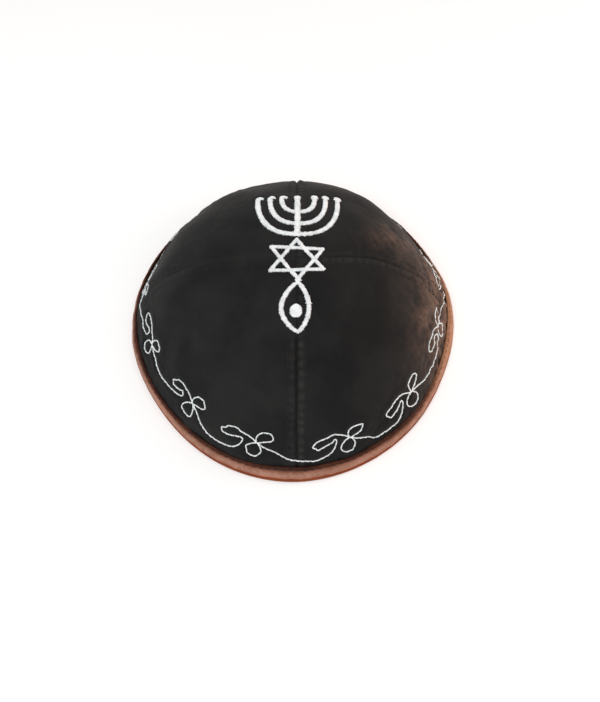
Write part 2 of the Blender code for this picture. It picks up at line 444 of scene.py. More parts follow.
@dataclass
class SoftShape:
    """The real, uneven shape of the cap: sewn seams, puckers, dents, a drawn-in rim and a leaning crown.

    The swells' heights are in millimetres, and those of the places of painted sheen are strengths.
    """

    form: DomeForm
    pulls: tuple[StitchPull, ...]
    emblem_front: float
    emblem_back: float
    groove_depth: float = 0.9 * MM
    groove_width: float = 0.55 * MM
    lip_high: float = 0.6 * MM
    lip_low: float = 0.25 * MM
    lip_place: float = 2.0 * MM
    lip_width: float = 1.35 * MM
    pucker_pitch: float = 4.1 * MM
    pucker_mean: float = 0.6
    pucker_swing: float = 0.4
    pucker_drift: float = 1.3
    valley_depth: float = 0.55 * MM
    valley_width: float = 8 * MM
    topstitch_place: float = 3.7 * MM
    topstitch_depth: float = 0.16 * MM
    topstitch_width: float = 0.5 * MM
    emblem_near: float = 2 * MM
    emblem_far: float = 4 * MM
    cross_seam_pressed: float = 0.5
    long_seam_pressed: float = 0.6
    left_seam_share: float = 0.6
    left_seam_start: float = -6 * MM
    left_seam_stop: float = 14 * MM
    rim_pucker_pitch: float = 6.4 * MM
    rim_pucker: float = 0.2 * MM
    rim_pucker_fade: float = 6 * MM
    rim_pucker_drift: float = 0.8
    lean: float = 1.7 * MM
    back_lean: float = 0.7 * MM
    back_lean_stop: float = 25 * MM
    rim_tuck: float = 1.45 * MM
    rim_tuck_rise: float = 8.5 * MM
    rim_pull: float = 1.15 * MM
    rim_pull_full: float = 8 * MM
    rim_pull_stop: float = 30 * MM
    open_turn: float = 272.0
    open_half_turn: float = 42.0
    open_power: float = 2.5
    back_pull: float = 1.2 * MM
    back_pull_level: float = 6 * MM
    back_turn: float = 90.0
    back_half_turn: float = 75.0
    right_slack: float = 0.9
    right_slack_turn: float = 346.0
    right_slack_half_turn: float = 24.0
    swells: tuple[Swell, ...] = (
        Swell(turn=62, rise=12, half_turn=26, half_rise=16, height=-1.3),
        Swell(turn=116, rise=12, half_turn=20, half_rise=16, height=0.8),
        Swell(turn=330, rise=24, half_turn=16, half_rise=12, height=0.5),
    )
    swell_full_rise: float = 8 * MM
    rim_swells: tuple[Swell, ...] = (
        Swell(turn=246, rise=0, half_turn=24, half_rise=30, height=1.4),
        Swell(turn=312, rise=0, half_turn=18, half_rise=30, height=0.6),
        Swell(turn=350, rise=0, half_turn=13, half_rise=30, height=0.9),
        Swell(turn=6, rise=0, half_turn=11, half_rise=30, height=1.3),
        Swell(turn=197, rise=0, half_turn=13, half_rise=30, height=0.7),
        Swell(turn=150, rise=0, half_turn=22, half_rise=30, height=-0.8),
        Swell(turn=30, rise=0, half_turn=22, half_rise=30, height=-0.6),
    )
    seam_sway: float = 1.9 * MM
    seam_sway_place: float = 34 * MM
    seam_sway_width: float = 15 * MM
    seam_sway_depth: float = 24 * MM
    # Places of painted grey-brown sheen where the warm light from the right grazes the nap; they also raise
    # real creases.
    painted_sheen: tuple[Swell, ...] = (
        Swell(turn=355, rise=16, half_turn=23, half_rise=22, height=1.1),
        Swell(turn=352, rise=6, half_turn=18, half_rise=7, height=0.6),
        Swell(turn=20, rise=48, half_turn=12, half_rise=16, height=0.4),
    )
    painted_sheen_mean: float = 0.7
    painted_sheen_quick: float = 0.14
    painted_sheen_middling: float = 0.17
    creases: float = 0.2 * MM
    slow: Waves = Waves(seed=11, shortest=24 * MM, longest=52 * MM)
    middling: Waves = Waves(seed=23, shortest=9 * MM, longest=17 * MM)
    quick: Waves = Waves(seed=37, shortest=3.4 * MM, longest=7 * MM)
    slow_height: float = 0.34 * MM
    slow_full_rise: float = 14 * MM
    band_rise: float = 15 * MM
    band_width: float = 9 * MM
    middling_height: float = 0.05 * MM
    middling_in_band: float = 0.13 * MM
    quick_height: float = 0.015 * MM
    quick_in_band: float = 0.07 * MM

    def under_emblem(self, y: Array) -> Array:
        """How much the emblem presses on the seams.

        Args:
            y: Places to the back.

        Returns:
            One share for each place, from 0 to 1.
        """
        front = smooth_rise(y, self.emblem_front - self.emblem_far, self.emblem_front + self.emblem_near)
        back = smooth_rise(y, self.emblem_back - self.emblem_near, self.emblem_back + self.emblem_far)
        return front * (1 - back)

    def seam_relief(self, skin: Array, run: Array) -> tuple[Array, Array]:
        """Grooves and puckered lips of the two crossing seams.

        Args:
            skin: Points of the smooth skin.
            run: Lengths of wall from the apex.

        Returns:
            The change of height, and how much each point stands proud on a lip.
        """
        x, y = skin[..., 0], skin[..., 1]
        drift = self.middling.at(skin)
        pressed = self.under_emblem(y)
        left = 1 - (1 - self.left_seam_share) * smooth_rise(-x, self.left_seam_start, self.left_seam_stop)
        height, proud = np.zeros_like(x), np.zeros_like(x)
        seams = (
            (-y, np.abs(y), left - self.cross_seam_pressed * pressed),
            (x, np.abs(x), 1 - self.long_seam_pressed * pressed),
        )
        for side, gap, share in seams:
            gain = np.where(side > 0, self.lip_high, self.lip_low)
            phase = TAU * run / self.pucker_pitch + self.pucker_drift * drift + np.sign(side)
            wave = self.pucker_mean + self.pucker_swing * np.cos(phase)
            lip = gain * bell(gap - self.lip_place, self.lip_width) * wave
            height += share * (
                lip
                - self.groove_depth * bell(gap, self.groove_width)
                - self.topstitch_depth * bell(gap - self.topstitch_place, self.topstitch_width)
                - self.valley_depth * bell(gap, self.valley_width)
            )
            # Lip mask, which the suede lightens as partly rubbed wear and partly painted highlight.
            proud = np.maximum(proud, share * lip / self.lip_high)
        return height, proud

    def bow(self, rise: Array, turn: Array) -> Array:
        """How far the wall bows out over the tight rim, less at the slack right, with its broad swells.

        Args:
            rise: Lengths of wall up from the table.
            turn: Angles from the right.

        Returns:
            The distances from the smooth skin.
        """
        steps = rise / self.rim_tuck_rise
        broad = strength(self.swells, turn, rise) * MM * smooth_rise(rise, 0, self.swell_full_rise)
        aside = degrees_from(turn, self.right_slack_turn)
        slack = self.right_slack * bell(aside, self.right_slack_half_turn)
        return self.rim_tuck * self.tight(turn) * (1 - slack) * steps * np.exp(1 - steps) + broad

    def tight(self, turn: Array) -> Array:
        """How tightly the rim is drawn in, from 0 at the front to 1."""
        away = np.abs(degrees_from(turn, self.open_turn)) / self.open_half_turn
        return 1 - np.exp(-(away**self.open_power))

    def drawn_in(self, turn: Array, level: Array) -> Array:
        """How far the rim and the wall over it are drawn in towards the middle.

        Args:
            turn: Angles from the right.
            level: Heights over the table.

        Returns:
            The distances.
        """
        behind = bell(degrees_from(turn, self.back_turn), self.back_half_turn)
        back = self.back_pull * behind * bell(level, self.back_pull_level)
        fading = 1 - smooth_rise(level, self.rim_pull_full, self.rim_pull_stop)
        return self.tight(turn) * self.rim_pull * fading + back

    def relief(self, skin: Array, share: Array, turn: Array) -> tuple[Array, Array, Array]:
        """Height of the real suede over the smooth skin.

        Args:
            skin: Points of the smooth skin.
            share: Their shares.
            turn: Their turns.

        Returns:
            The height, how much each point stands proud, and how much painted grey-brown sheen of the light
            from the right it gets, from 0 to 1.
        """
        run = self.form.run_at_share(np.clip(share, 0, 1))
        rise = self.form.wall_length - run
        slow, middling, quick = self.slow.at(skin), self.middling.at(skin), self.quick.at(skin)
        band = bell(rise - self.band_rise, self.band_width)
        painted_sheen = strength(self.painted_sheen, turn, rise)
        height = self.slow_height * slow * smooth_rise(rise, 0, self.slow_full_rise)
        height += (self.middling_height + self.middling_in_band * band) * middling
        creased = self.creases * np.clip(painted_sheen, 0, 1)
        height += (self.quick_height + self.quick_in_band * band + creased) * quick
        phase = TAU * turn * self.form.mean_half / self.rim_pucker_pitch + self.rim_pucker_drift * slow
        height += self.rim_pucker * np.exp(-rise / self.rim_pucker_fade) * np.cos(phase)
        height += self.bow(rise, turn)
        seam, proud = self.seam_relief(skin, run)
        for pull in self.pulls:
            change, near = pull.at(skin)
            height += change
            seam, proud = seam * (1 - near), proud * (1 - near)
        # Mottled painted sheen of the warm light from the right, for the suede's colour.
        mottled = painted_sheen * (self.painted_sheen_mean + self.painted_sheen_quick * quick + self.painted_sheen_middling * middling)
        return height + seam, proud, np.clip(mottled, 0, 1)

    def settle(self, points: Array) -> Array:
        """Draws in the rim, leans the crown and sways the right-hand seam, as sewing has pulled them.

        Args:
            points: Points of the even shape.

        Returns:
            Their real places.
        """
        x, y = points[..., 0], points[..., 1]
        shift = np.zeros_like(points)
        turn = np.arctan2(y, x)
        level = np.clip(points[..., 2], 0, None)
        outward = strength(self.rim_swells, turn, level) * MM - self.drawn_in(turn, level)
        shift[..., 0] = outward * np.cos(turn)
        shift[..., 1] = outward * np.sin(turn)
        lean = self.lean + self.back_lean * smooth_rise(y, 0, self.back_lean_stop)
        shift[..., 0] += lean * np.clip(1 - (x / self.form.half_width) ** 2, 0, 1) ** 2
        sway = bell(x - self.seam_sway_place, self.seam_sway_width) * bell(y, self.seam_sway_depth)
        shift[..., 1] += self.seam_sway * sway
        return points + shift

    def off_skin(self, share: Array, turn: Array, offset: Array) -> Array:
        """Real places of points that lie off the smooth skin, outwards positive."""
        return self.settle(self.form.skin(share, turn) + self.form.normal(share, turn) * offset[..., None])

    def surface(self, share: Array, turn: Array, height: Array) -> Array:
        """Points on the real suede, or at heights over it."""
        skin = self.form.skin(share, turn)
        return self.off_skin(share, turn, self.relief(skin, share, turn)[0] + height)


def join_sheets(rows: int, columns: int, closed: bool = False) -> Array:
    """Numbers the corners of a grid's faces.

    Args:
        rows: Rows of points.
        columns: Points in a row.
        closed: Whether each row comes back to its start.

    Returns:
        Four point numbers for each face.
    """
    number = np.arange(rows * columns).reshape(rows, columns)
    if closed:
        number = np.concatenate([number, number[:, :1]], axis=1)
    corners = [number[:-1, :-1], number[1:, :-1], number[1:, 1:], number[:-1, 1:]]
    return np.stack(corners, -1).reshape(-1, 4)


def new_piece(name: str, points: Array, faces: Array, material: bpy.types.Material,
              nodes: tuple[str, ...] = ()) -> bpy.types.Object:
    """Makes a smooth piece of four-cornered faces, which rides on the cap.

    Args:
        name: Name of the piece.
        points: Its points.
        faces: Four point numbers for each face.
        material: Its material.
        nodes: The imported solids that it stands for.

    Returns:
        The piece.
    """
    mesh = bpy.data.meshes.new(name)
    mesh.vertices.add(len(points))
    mesh.vertices.foreach_set("co", np.ascontiguousarray(points, np.float32).ravel())
    mesh.loops.add(faces.size)
    mesh.loops.foreach_set("vertex_index", np.ascontiguousarray(faces, np.int32).ravel())
    mesh.polygons.add(len(faces))
    mesh.polygons.foreach_set("loop_start", np.arange(0, faces.size, 4, dtype=np.int32))
    mesh.polygons.foreach_set("use_smooth", np.ones(len(faces), bool))
    mesh.update(calc_edges=True)
    mesh.materials.append(material)
    piece = bpy.data.objects.new(name, mesh)
    bpy.context.scene.collection.objects.link(piece)
    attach(piece, BODY)
    if nodes:
        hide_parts(*nodes)
    LOG.info("%s: %d points, %d faces", name, len(points), len(faces))
    return piece


def add_value(piece: bpy.types.Object, name: str, values: Array) -> None:
    """Stores one value for each point of a piece, for its material to read."""
    layer = piece.data.attributes.new(name, "FLOAT", "POINT")
    layer.data.foreach_set("value", np.ascontiguousarray(values, np.float32).ravel())


@dataclass(frozen=True)
class ThreadTubes:
    """Closed tubes of thread, all with the same number of rings. Two faces close each end of a tube."""

    sides: int = 6
    end_size: float = 0.55
    cap: tuple[tuple[int, ...], ...] = ((0, 1, 2, 5), (2, 3, 4, 5))

    def faces(self, count: int, rings: int) -> Array:
        """Faces of a number of tubes.

        Args:
            count: Number of tubes.
            rings: Rings in each tube.

        Returns:
            Four point numbers for each face.
        """
        side = join_sheets(rings, self.sides, closed=True)
        last = (rings - 1) * self.sides
        low = np.array(self.cap)
        one = np.concatenate([side, low, low[:, ::-1] + last])
        shift = np.arange(count)[:, None, None] * (rings * self.sides)
        return (one[None] + shift).reshape(-1, 4)

    def points(self, paths: Array, ups: Array, radius: float | Array) -> Array:
        """Points of tubes round paths.

        Args:
            paths: Middle points, as tubes by rings by 3.
            ups: Directions away from the suede, in the same order.
            radius: Radius of the thread, one for all or one for each ring.

        Returns:
            The points, in the order that faces() numbers them.
        """
        along = unit(np.gradient(paths, axis=1))
        across = unit(np.cross(along, ups))
        ups = np.cross(across, along)
        size = np.ones(paths.shape[1])
        size[[0, -1]] = self.end_size
        size = (size * radius)[..., None, None]
        turn = np.arange(self.sides) * TAU / self.sides
        ring = across[:, :, None] * np.cos(turn)[:, None] + ups[:, :, None] * np.sin(turn)[:, None]
        return (paths[:, :, None] + ring * size).reshape(-1, 3)


TUBES = ThreadTubes()


class Desk:
    """Places and links the nodes of one material or node group."""

    def __init__(self, tree: bpy.types.NodeTree) -> None:
        """Starts on a node tree."""
        self.tree = tree

    def add(self, kind: str, sockets: dict | None = None, **settings: object) -> bpy.types.Node:
        """Adds a node.

        Args:
            kind: Blender's name of the node's type, without ShaderNode.
            sockets: What each input gets, a value or another node's output.
            settings: The node's own settings.

        Returns:
            The node.
        """
        node = self.tree.nodes.new("ShaderNode" + kind)
        for name, value in settings.items():
            setattr(node, name, value)
        for name, value in (sockets or {}).items():
            self.feed(node.inputs[name], value)
        return node

    def feed(self, socket: bpy.types.NodeSocket, value: object) -> None:
        """Gives a socket a value or links another node's output to it.

        Args:
            socket: The socket.
            value: A number, a colour or an output.
        """
        if isinstance(value, bpy.types.NodeSocket):
            self.tree.links.new(value, socket)
        elif isinstance(value, tuple) and len(value) == 3 and socket.type == "RGBA":
            socket.default_value = (*value, 1.0)
        else:
            socket.default_value = value

    def sum(self, kind: str, first: object, second: object = 0.0) -> bpy.types.NodeSocket:
        """Does the named sum on one number or two."""
        return self.add("Math", {0: first, 1: second}, operation=kind).outputs[0]

    def plus(self, first: object, second: object) -> bpy.types.NodeSocket:
        """Adds two numbers."""
        return self.sum("ADD", first, second)

    def times(self, first: object, second: object) -> bpy.types.NodeSocket:
        """Multiplies two numbers."""
        return self.sum("MULTIPLY", first, second)

    def stored(self, name: str) -> bpy.types.NodeSocket:
        """Reads a value that add_value() has stored on the piece."""
        return self.add("Attribute", attribute_name=name).outputs["Fac"]

    def span(
        self, value: object, low: float, high: float, to_low: float, to_high: float
    ) -> bpy.types.NodeSocket:
        """Brings a number smoothly from one range, low to high, to another."""
        sockets = {0: value, 1: low, 2: high, 3: to_low, 4: to_high}
        return self.add("MapRange", sockets, interpolation_type="SMOOTHSTEP").outputs[0]

    def blend(self, factor: object, first: object, second: object) -> bpy.types.NodeSocket:
        """Mixes two colours, which a Mix node has in sockets 6 and 7. Its output 2 is their mix."""
        return self.add("Mix", {0: factor, 6: first, 7: second}, data_type="RGBA").outputs[2]

    def ramp(self, value: object, stops: tuple[tuple[float, Colour], ...]) -> bpy.types.NodeSocket:
        """Turns a number from 0 to 1 into a colour.

        Args:
            value: The number.
            stops: Numbers and their colours, in order.

        Returns:
            The colour.
        """
        node = self.add("ValToRGB", {0: value})
        points = node.color_ramp.elements
        while len(points) < len(stops):
            points.new(1.0)
        for point, (place, colour) in zip(points, stops):
            point.position, point.color = place, (*colour, 1.0)
        return node.outputs[0]

    def group(self, tree: bpy.types.NodeTree, sockets: dict) -> bpy.types.Node:
        """Places a node group.

        Args:
            tree: The group.
            sockets: What each of its inputs gets.

        Returns:
            The group's node.
        """
        node = self.tree.nodes.new("ShaderNodeGroup")
        node.node_tree = tree
        for name, value in sockets.items():
            self.feed(node.inputs[name], value)
        return node


def start_group(
    name: str, inputs: dict[str, str], outputs: dict[str, str]
) -> tuple[Desk, dict[str, bpy.types.NodeSocket], bpy.types.Node]:
    """Makes an empty shader node group with named sockets.

    Args:
        name: Name of the group.
        inputs: Socket type of each input.
        outputs: Socket type of each output.

    Returns:
        The desk to work on, the input sockets by name, and the output node.
    """
    tree = bpy.data.node_groups.new(name, "ShaderNodeTree")
    for direction, sockets in (("INPUT", inputs), ("OUTPUT", outputs)):
        for label, kind in sockets.items():
            tree.interface.new_socket(label, in_out=direction, socket_type="NodeSocket" + kind)
    source = tree.nodes.new("NodeGroupInput")
    target = tree.nodes.new("NodeGroupOutput")
    return Desk(tree), {label: source.outputs[label] for label in inputs}, target


@dataclass
class Effects:
    """Node groups that several finishes share, each built once."""

    patch_scale: float = 0.21
    grain_low: float = 0.34
    grain_high: float = 0.66
    pore_depth: float = 0.5
    tone_low: float = 0.36
    tone_high: float = 0.66
    plies: float = 3.0
    twist_power: float = 0.7
    grain: bpy.types.NodeTree = field(init=False)
    tone: bpy.types.NodeTree = field(init=False)
    twist: bpy.types.NodeTree = field(init=False)

    def __post_init__(self) -> None:
        """Builds the groups."""
        self.grain = self.build_grain()
        self.tone = self.build_tone()
        self.twist = self.build_twist()

    def build_grain(self) -> bpy.types.NodeTree:
        """Fine fibres and pores: a mask for the colour and a height for the bump.

        Returns:
            The group.
        """
        inputs = {"Place": "Vector", "Scale": "Float", "Coarse": "Float"}
        desk, given, out = start_group("fibre_grain", inputs, {"Mask": "Float", "Height": "Float"})
        place, scale, coarse = given["Place"], given["Scale"], given["Coarse"]
        fine = desk.add("TexNoise", {"Vector": place, "Scale": scale, "Detail": 5.0, "Roughness": 0.62})
        wide = desk.times(scale, self.patch_scale)
        patch = desk.add("TexNoise", {"Vector": place, "Scale": wide, "Detail": 3.0, "Distortion": 0.6})
        pores = desk.add("TexVoronoi", {"Vector": place, "Scale": scale}, feature="SMOOTH_F1")
        fibres = desk.times(fine.outputs[0], desk.sum("SUBTRACT", 1.0, coarse))
        mixed = desk.plus(desk.times(patch.outputs[0], coarse), fibres)
        desk.feed(out.inputs["Mask"], desk.span(mixed, self.grain_low, self.grain_high, 0.0, 1.0))
        deep = desk.times(pores.outputs["Distance"], self.pore_depth)
        desk.feed(out.inputs["Height"], desk.plus(deep, mixed))
        return desk.tree

    def build_tone(self) -> bpy.types.NodeTree:
        """Slow drift between two colours.

        Returns:
            The group.
        """
        inputs = {"Place": "Vector", "Base": "Color", "Other": "Color", "Scale": "Float", "Amount": "Float"}
        desk, given, out = start_group("tone_drift", inputs, {"Colour": "Color"})
        sockets = {"Vector": given["Place"], "Scale": given["Scale"], "Detail": 4.0}
        slow = desk.add("TexNoise", sockets | {"Roughness": 0.55, "Distortion": 0.4})
        drift = desk.span(slow.outputs[0], self.tone_low, self.tone_high, 0.0, 1.0)
        part = desk.times(drift, given["Amount"])
        desk.feed(out.inputs["Colour"], desk.blend(part, given["Base"], given["Other"]))
        return desk.tree

    def build_twist(self) -> bpy.types.NodeTree:
        """Fine fibres that wind round a thread, told by the place along and round it.

        Returns:
            The group.
        """
        inputs = {"Along": "Float", "Round": "Float", "Winds": "Float"}
        desk, given, out = start_group("ply_twist", inputs, {"Mask": "Float", "Height": "Float"})
        winding = desk.times(given["Along"], given["Winds"])
        phase = desk.plus(winding, desk.times(given["Round"], self.plies))
        height = desk.span(desk.sum("SINE", desk.times(phase, TAU)), -1.0, 1.0, 0.0, 1.0)
        desk.feed(out.inputs["Height"], height)
        desk.feed(out.inputs["Mask"], desk.sum("POWER", height, self.twist_power))
        return desk.tree


def start_material(name: str) -> tuple[bpy.types.Material, Desk, bpy.types.Node, bpy.types.NodeSocket]:
    """Makes a material with a plain shader.

    Args:
        name: Name of the material.

    Returns:
        The material, its desk, its shader and the place on the object.
    """
    material = bpy.data.materials.new(name)
    material.use_nodes = True
    desk = Desk(material.node_tree)
    shader = material.node_tree.nodes["Principled BSDF"]
    place = desk.add("TexCoord").outputs["Object"]
    return material, desk, shader, place


@dataclass(frozen=True)
class Touch:
    """Roughness where an effect's mask is 0 and where it is 1, and the strength and depth of its bump."""

    rough_low: float
    rough_high: float
    bump: float
    bump_depth: float

    def dress(self, desk: Desk, shader: bpy.types.Node, effect: bpy.types.Node) -> None:
        """Links roughness and bump to a shader.

        Args:
            desk: The material's desk.
            shader: The material's shader.
            effect: A placed group with a Mask and a Height.
        """
        rough = desk.span(effect.outputs["Mask"], 0.0, 1.0, self.rough_low, self.rough_high)
        desk.feed(shader.inputs["Roughness"], rough)
        sockets = {"Strength": self.bump, "Distance": self.bump_depth, "Height": effect.outputs["Height"]}
        desk.feed(shader.inputs["Normal"], desk.add("Bump", sockets).outputs[0])


@dataclass(frozen=True)
class SuedeFinish:
    """Brushed black suede, with a painted grey-brown sheen where light from the right grazes its nap, and
    lighter seam lips that are partly rubbed wear and partly painted highlight.
    """

    name: str
    seed: float
    # Painted light and shade of this gore's nap, a factor on its colours.
    shade: float
    deep: Colour = linear(12, 12, 13)
    raised: Colour = linear(29, 29, 29)
    # Seam lips: partly rubbed wear, partly painted highlight.
    rub_and_highlight_colour: Colour = linear(52, 51, 50)
    # Grey-brown painted sheen of the warm light from the right.
    painted_sheen: Colour = linear(132, 102, 86)
    nap: Colour = linear(52, 50, 48)
    nap_scale: float = 1500.0
    nap_coarse: float = 0.45
    nap_amount: float = 0.24
    drift_scale: float = 38.0
    drift_amount: float = 0.85
    speckle_depth: float = 0.7
    speckle_floor: float = 0.25
    touch: Touch = Touch(rough_low=0.8, rough_high=0.98, bump=0.55, bump_depth=0.35 * MM)
    specular: float = 0.18
    sheen: float = 0.05
    sheen_roughness: float = 0.42
    sheen_tint: Colour = (1.0, 0.92, 0.88)

    def shaded(self, colour: Colour) -> Colour:
        """A colour with this gore's painted light and shade."""
        return tuple(self.shade * part for part in colour)

    def make(self, effects: Effects) -> bpy.types.Material:
        """Builds the material.

        Args:
            effects: The shared node groups.

        Returns:
            The material.
        """
        material, desk, shader, place = start_material(self.name)
        moved = desk.add("VectorMath", {0: place, 1: (self.seed, 0.0, 0.0)}, operation="ADD").outputs[0]
        tone = desk.group(effects.tone, {
            "Place": moved, "Base": self.shaded(self.deep), "Other": self.shaded(self.raised),
            "Scale": self.drift_scale, "Amount": self.drift_amount,
        })
        fibres = {"Place": moved, "Scale": self.nap_scale, "Coarse": self.nap_coarse}
        grain = desk.group(effects.grain, fibres)
        mask = grain.outputs["Mask"]
        speckle = desk.plus(desk.times(mask, self.speckle_depth), self.speckle_floor)
        pale = desk.times(mask, self.nap_amount)
        colour = desk.blend(pale, tone.outputs["Colour"], self.shaded(self.nap))
        # Lighter seam lips, partly rubbed wear and partly painted highlight, then the painted sheen of the
        # light from the right.
        for stored, over in (("rub", self.rub_and_highlight_colour), ("painted_sheen", self.painted_sheen)):
            colour = desk.blend(desk.times(desk.stored(stored), speckle), colour, over)
        desk.feed(shader.inputs["Base Color"], colour)
        self.touch.dress(desk, shader, grain)
        desk.feed(shader.inputs["Specular IOR Level"], self.specular)
        desk.feed(shader.inputs["Sheen Weight"], self.sheen)
        desk.feed(shader.inputs["Sheen Roughness"], self.sheen_roughness)
        desk.feed(shader.inputs["Sheen Tint"], self.sheen_tint)
        return material


@dataclass(frozen=True)
class BindingFinish:
    """Brown leather strip with stripes along it and a painted warm sheen of the light from the right on its
    right side.

    The stripes run from the dark turned edge at the top, over a pale crown and a dark line, to the
    orange fold.
    """

    name: str = "binding_leather"
    stripes: tuple[tuple[float, Colour], ...] = (
        (0.0, linear(40, 13, 4)), (0.1, linear(58, 24, 12)), (0.17, linear(102, 64, 48)),
        (0.24, linear(140, 92, 72)), (0.32, linear(156, 112, 94)), (0.4, linear(164, 124, 106)),
        (0.48, linear(164, 118, 98)), (0.56, linear(170, 116, 94)), (0.64, linear(160, 92, 66)),
        (0.72, linear(112, 48, 22)), (0.8, linear(150, 78, 44)), (0.9, linear(144, 68, 32)),
        (1.0, linear(108, 44, 20)),
    )
    wander: float = 0.1
    wander_scale: float = 90.0
    scuff: Colour = linear(92, 50, 32)
    scuff_scale: float = 60.0
    scuff_amount: float = 0.25
    # Painted warm sheen of the light from the right, and how much of it is mixed in.
    warm_sheen: Colour = linear(178, 128, 94)
    fading: float = 0.65
    grain_scale: float = 900.0
    grain_coarse: float = 0.5
    grain_start: float = 0.2
    grain_amount: float = 0.35
    touch: Touch = Touch(rough_low=0.42, rough_high=0.66, bump=0.5, bump_depth=0.25 * MM)
    specular: float = 0.12

    def make(self, effects: Effects) -> bpy.types.Material:
        """Builds the material.

        Args:
            effects: The shared node groups.

        Returns:
            The material.
        """
        material, desk, shader, place = start_material(self.name)
        noise = {"Vector": place, "Scale": self.wander_scale, "Detail": 2.0}
        drift = desk.sum("SUBTRACT", desk.add("TexNoise", noise).outputs[0], 0.5)
        stripe = desk.ramp(desk.plus(desk.stored("across"), desk.times(drift, self.wander)), self.stripes)
        tone = desk.group(effects.tone, {
            "Place": place, "Base": stripe, "Other": self.scuff, "Scale": self.scuff_scale,
            "Amount": self.scuff_amount,
        })
        # Painted warm sheen of the light from the right.
        fading = desk.times(desk.stored("painted_sheen"), self.fading)
        colour = desk.blend(fading, tone.outputs["Colour"], self.warm_sheen)
        leather = {"Place": place, "Scale": self.grain_scale, "Coarse": self.grain_coarse}
        grain = desk.group(effects.grain, leather)
        pores = desk.span(grain.outputs["Mask"], self.grain_start, 1.0, 0.0, self.grain_amount)
        desk.feed(shader.inputs["Base Color"], desk.blend(pores, colour, self.scuff))
        self.touch.dress(desk, shader, grain)
        desk.feed(shader.inputs["Specular IOR Level"], self.specular)
        return material


@dataclass(frozen=True)
class ThreadFinish:
    """Embroidery or sewing thread with fibres that wind round it."""

    name: str
    bright: Colour
    dim: Colour
    metal: float = 0.0
    roughness: float = 0.34
    groove_roughness: float = 0.15
    bump: float = 0.4
    bump_depth: float = 0.08 * MM
    sheen: float = 0.15
    winds: float = 1400.0
    drift_scale: float = 420.0
    drift_amount: float = 0.55
    gap_shade: float = 0.35

    def make(self, effects: Effects) -> bpy.types.Material:
        """Builds the material.

        Args:
            effects: The shared node groups.

        Returns:
            The material.
        """
        material, desk, shader, place = start_material(self.name)
        turns = {"Along": desk.stored("along"), "Round": desk.stored("round"), "Winds": self.winds}
        twist = desk.group(effects.twist, turns)
        tone = desk.group(effects.tone, {
            "Place": place, "Base": self.bright, "Other": self.dim, "Scale": self.drift_scale,
            "Amount": self.drift_amount,
        })
        # Painted shade in the grooves between the plies.
        shade = desk.span(twist.outputs["Mask"], 0.0, 1.0, self.gap_shade, 0.0)
        desk.feed(shader.inputs["Base Color"], desk.blend(shade, tone.outputs["Colour"], self.dim))
        touch = Touch(self.roughness + self.groove_roughness, self.roughness, self.bump, self.bump_depth)
        touch.dress(desk, shader, twist)
        desk.feed(shader.inputs["Metallic"], self.metal)
        desk.feed(shader.inputs["Sheen Weight"], self.sheen)
        return material


@dataclass(frozen=True)
class FloorFinish:
    """Plain pale studio floor."""

    name: str = "pale_floor"
    colour: Colour = (0.93, 0.93, 0.925)
    other: Colour = (0.9, 0.9, 0.9)
    drift_scale: float = 3.0
    drift_amount: float = 0.5
    roughness: float = 0.9
    specular: float = 0.1

    def make(self, effects: Effects) -> bpy.types.Material:
        """Builds the material.

        Args:
            effects: The shared node groups.

        Returns:
            The material.
        """
        material, desk, shader, place = start_material(self.name)
        tone = desk.group(effects.tone, {
            "Place": place, "Base": self.colour, "Other": self.other, "Scale": self.drift_scale,
            "Amount": self.drift_amount,
        })
        desk.feed(shader.inputs["Base Color"], tone.outputs["Colour"])
        desk.feed(shader.inputs["Roughness"], self.roughness)
        desk.feed(shader.inputs["Specular IOR Level"], self.specular)
        return material


def sewn_piece(name: str, paths: Array, ups: Array, radius: float | Array, pitch: float,
               material: bpy.types.Material, nodes: tuple[str, ...] = ()) -> bpy.types.Object:
    """Makes a piece out of many short tubes of thread.

    Args:
        name: Name of the piece.
        paths: Middle points, as tubes by rings by 3.
        ups: Directions away from the suede, in the same order.
        radius: Radius of the thread.
        pitch: Distance along the thread between two rings.
        material: Its material.
        nodes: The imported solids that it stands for.

    Returns:
        The piece.
    """
    count, rings = paths.shape[:2]
    points, faces = TUBES.points(paths, ups, radius), TUBES.faces(count, rings)
    piece = new_piece(name, points, faces, material, nodes)
    grid = (count, rings, TUBES.sides)
    around = np.abs(np.arange(TUBES.sides) - TUBES.sides // 2) / TUBES.sides
    add_value(piece, "along", np.broadcast_to(np.arange(rings)[None, :, None] * pitch, grid))
    add_value(piece, "round", np.broadcast_to(around, grid))
    return piece


@dataclass(frozen=True)
class Stroke:
    """One embroidered stroke: a line in plan and the width of the satin stitch over it."""

    line: Array
    width: float | Array
    lift: float = 0.0


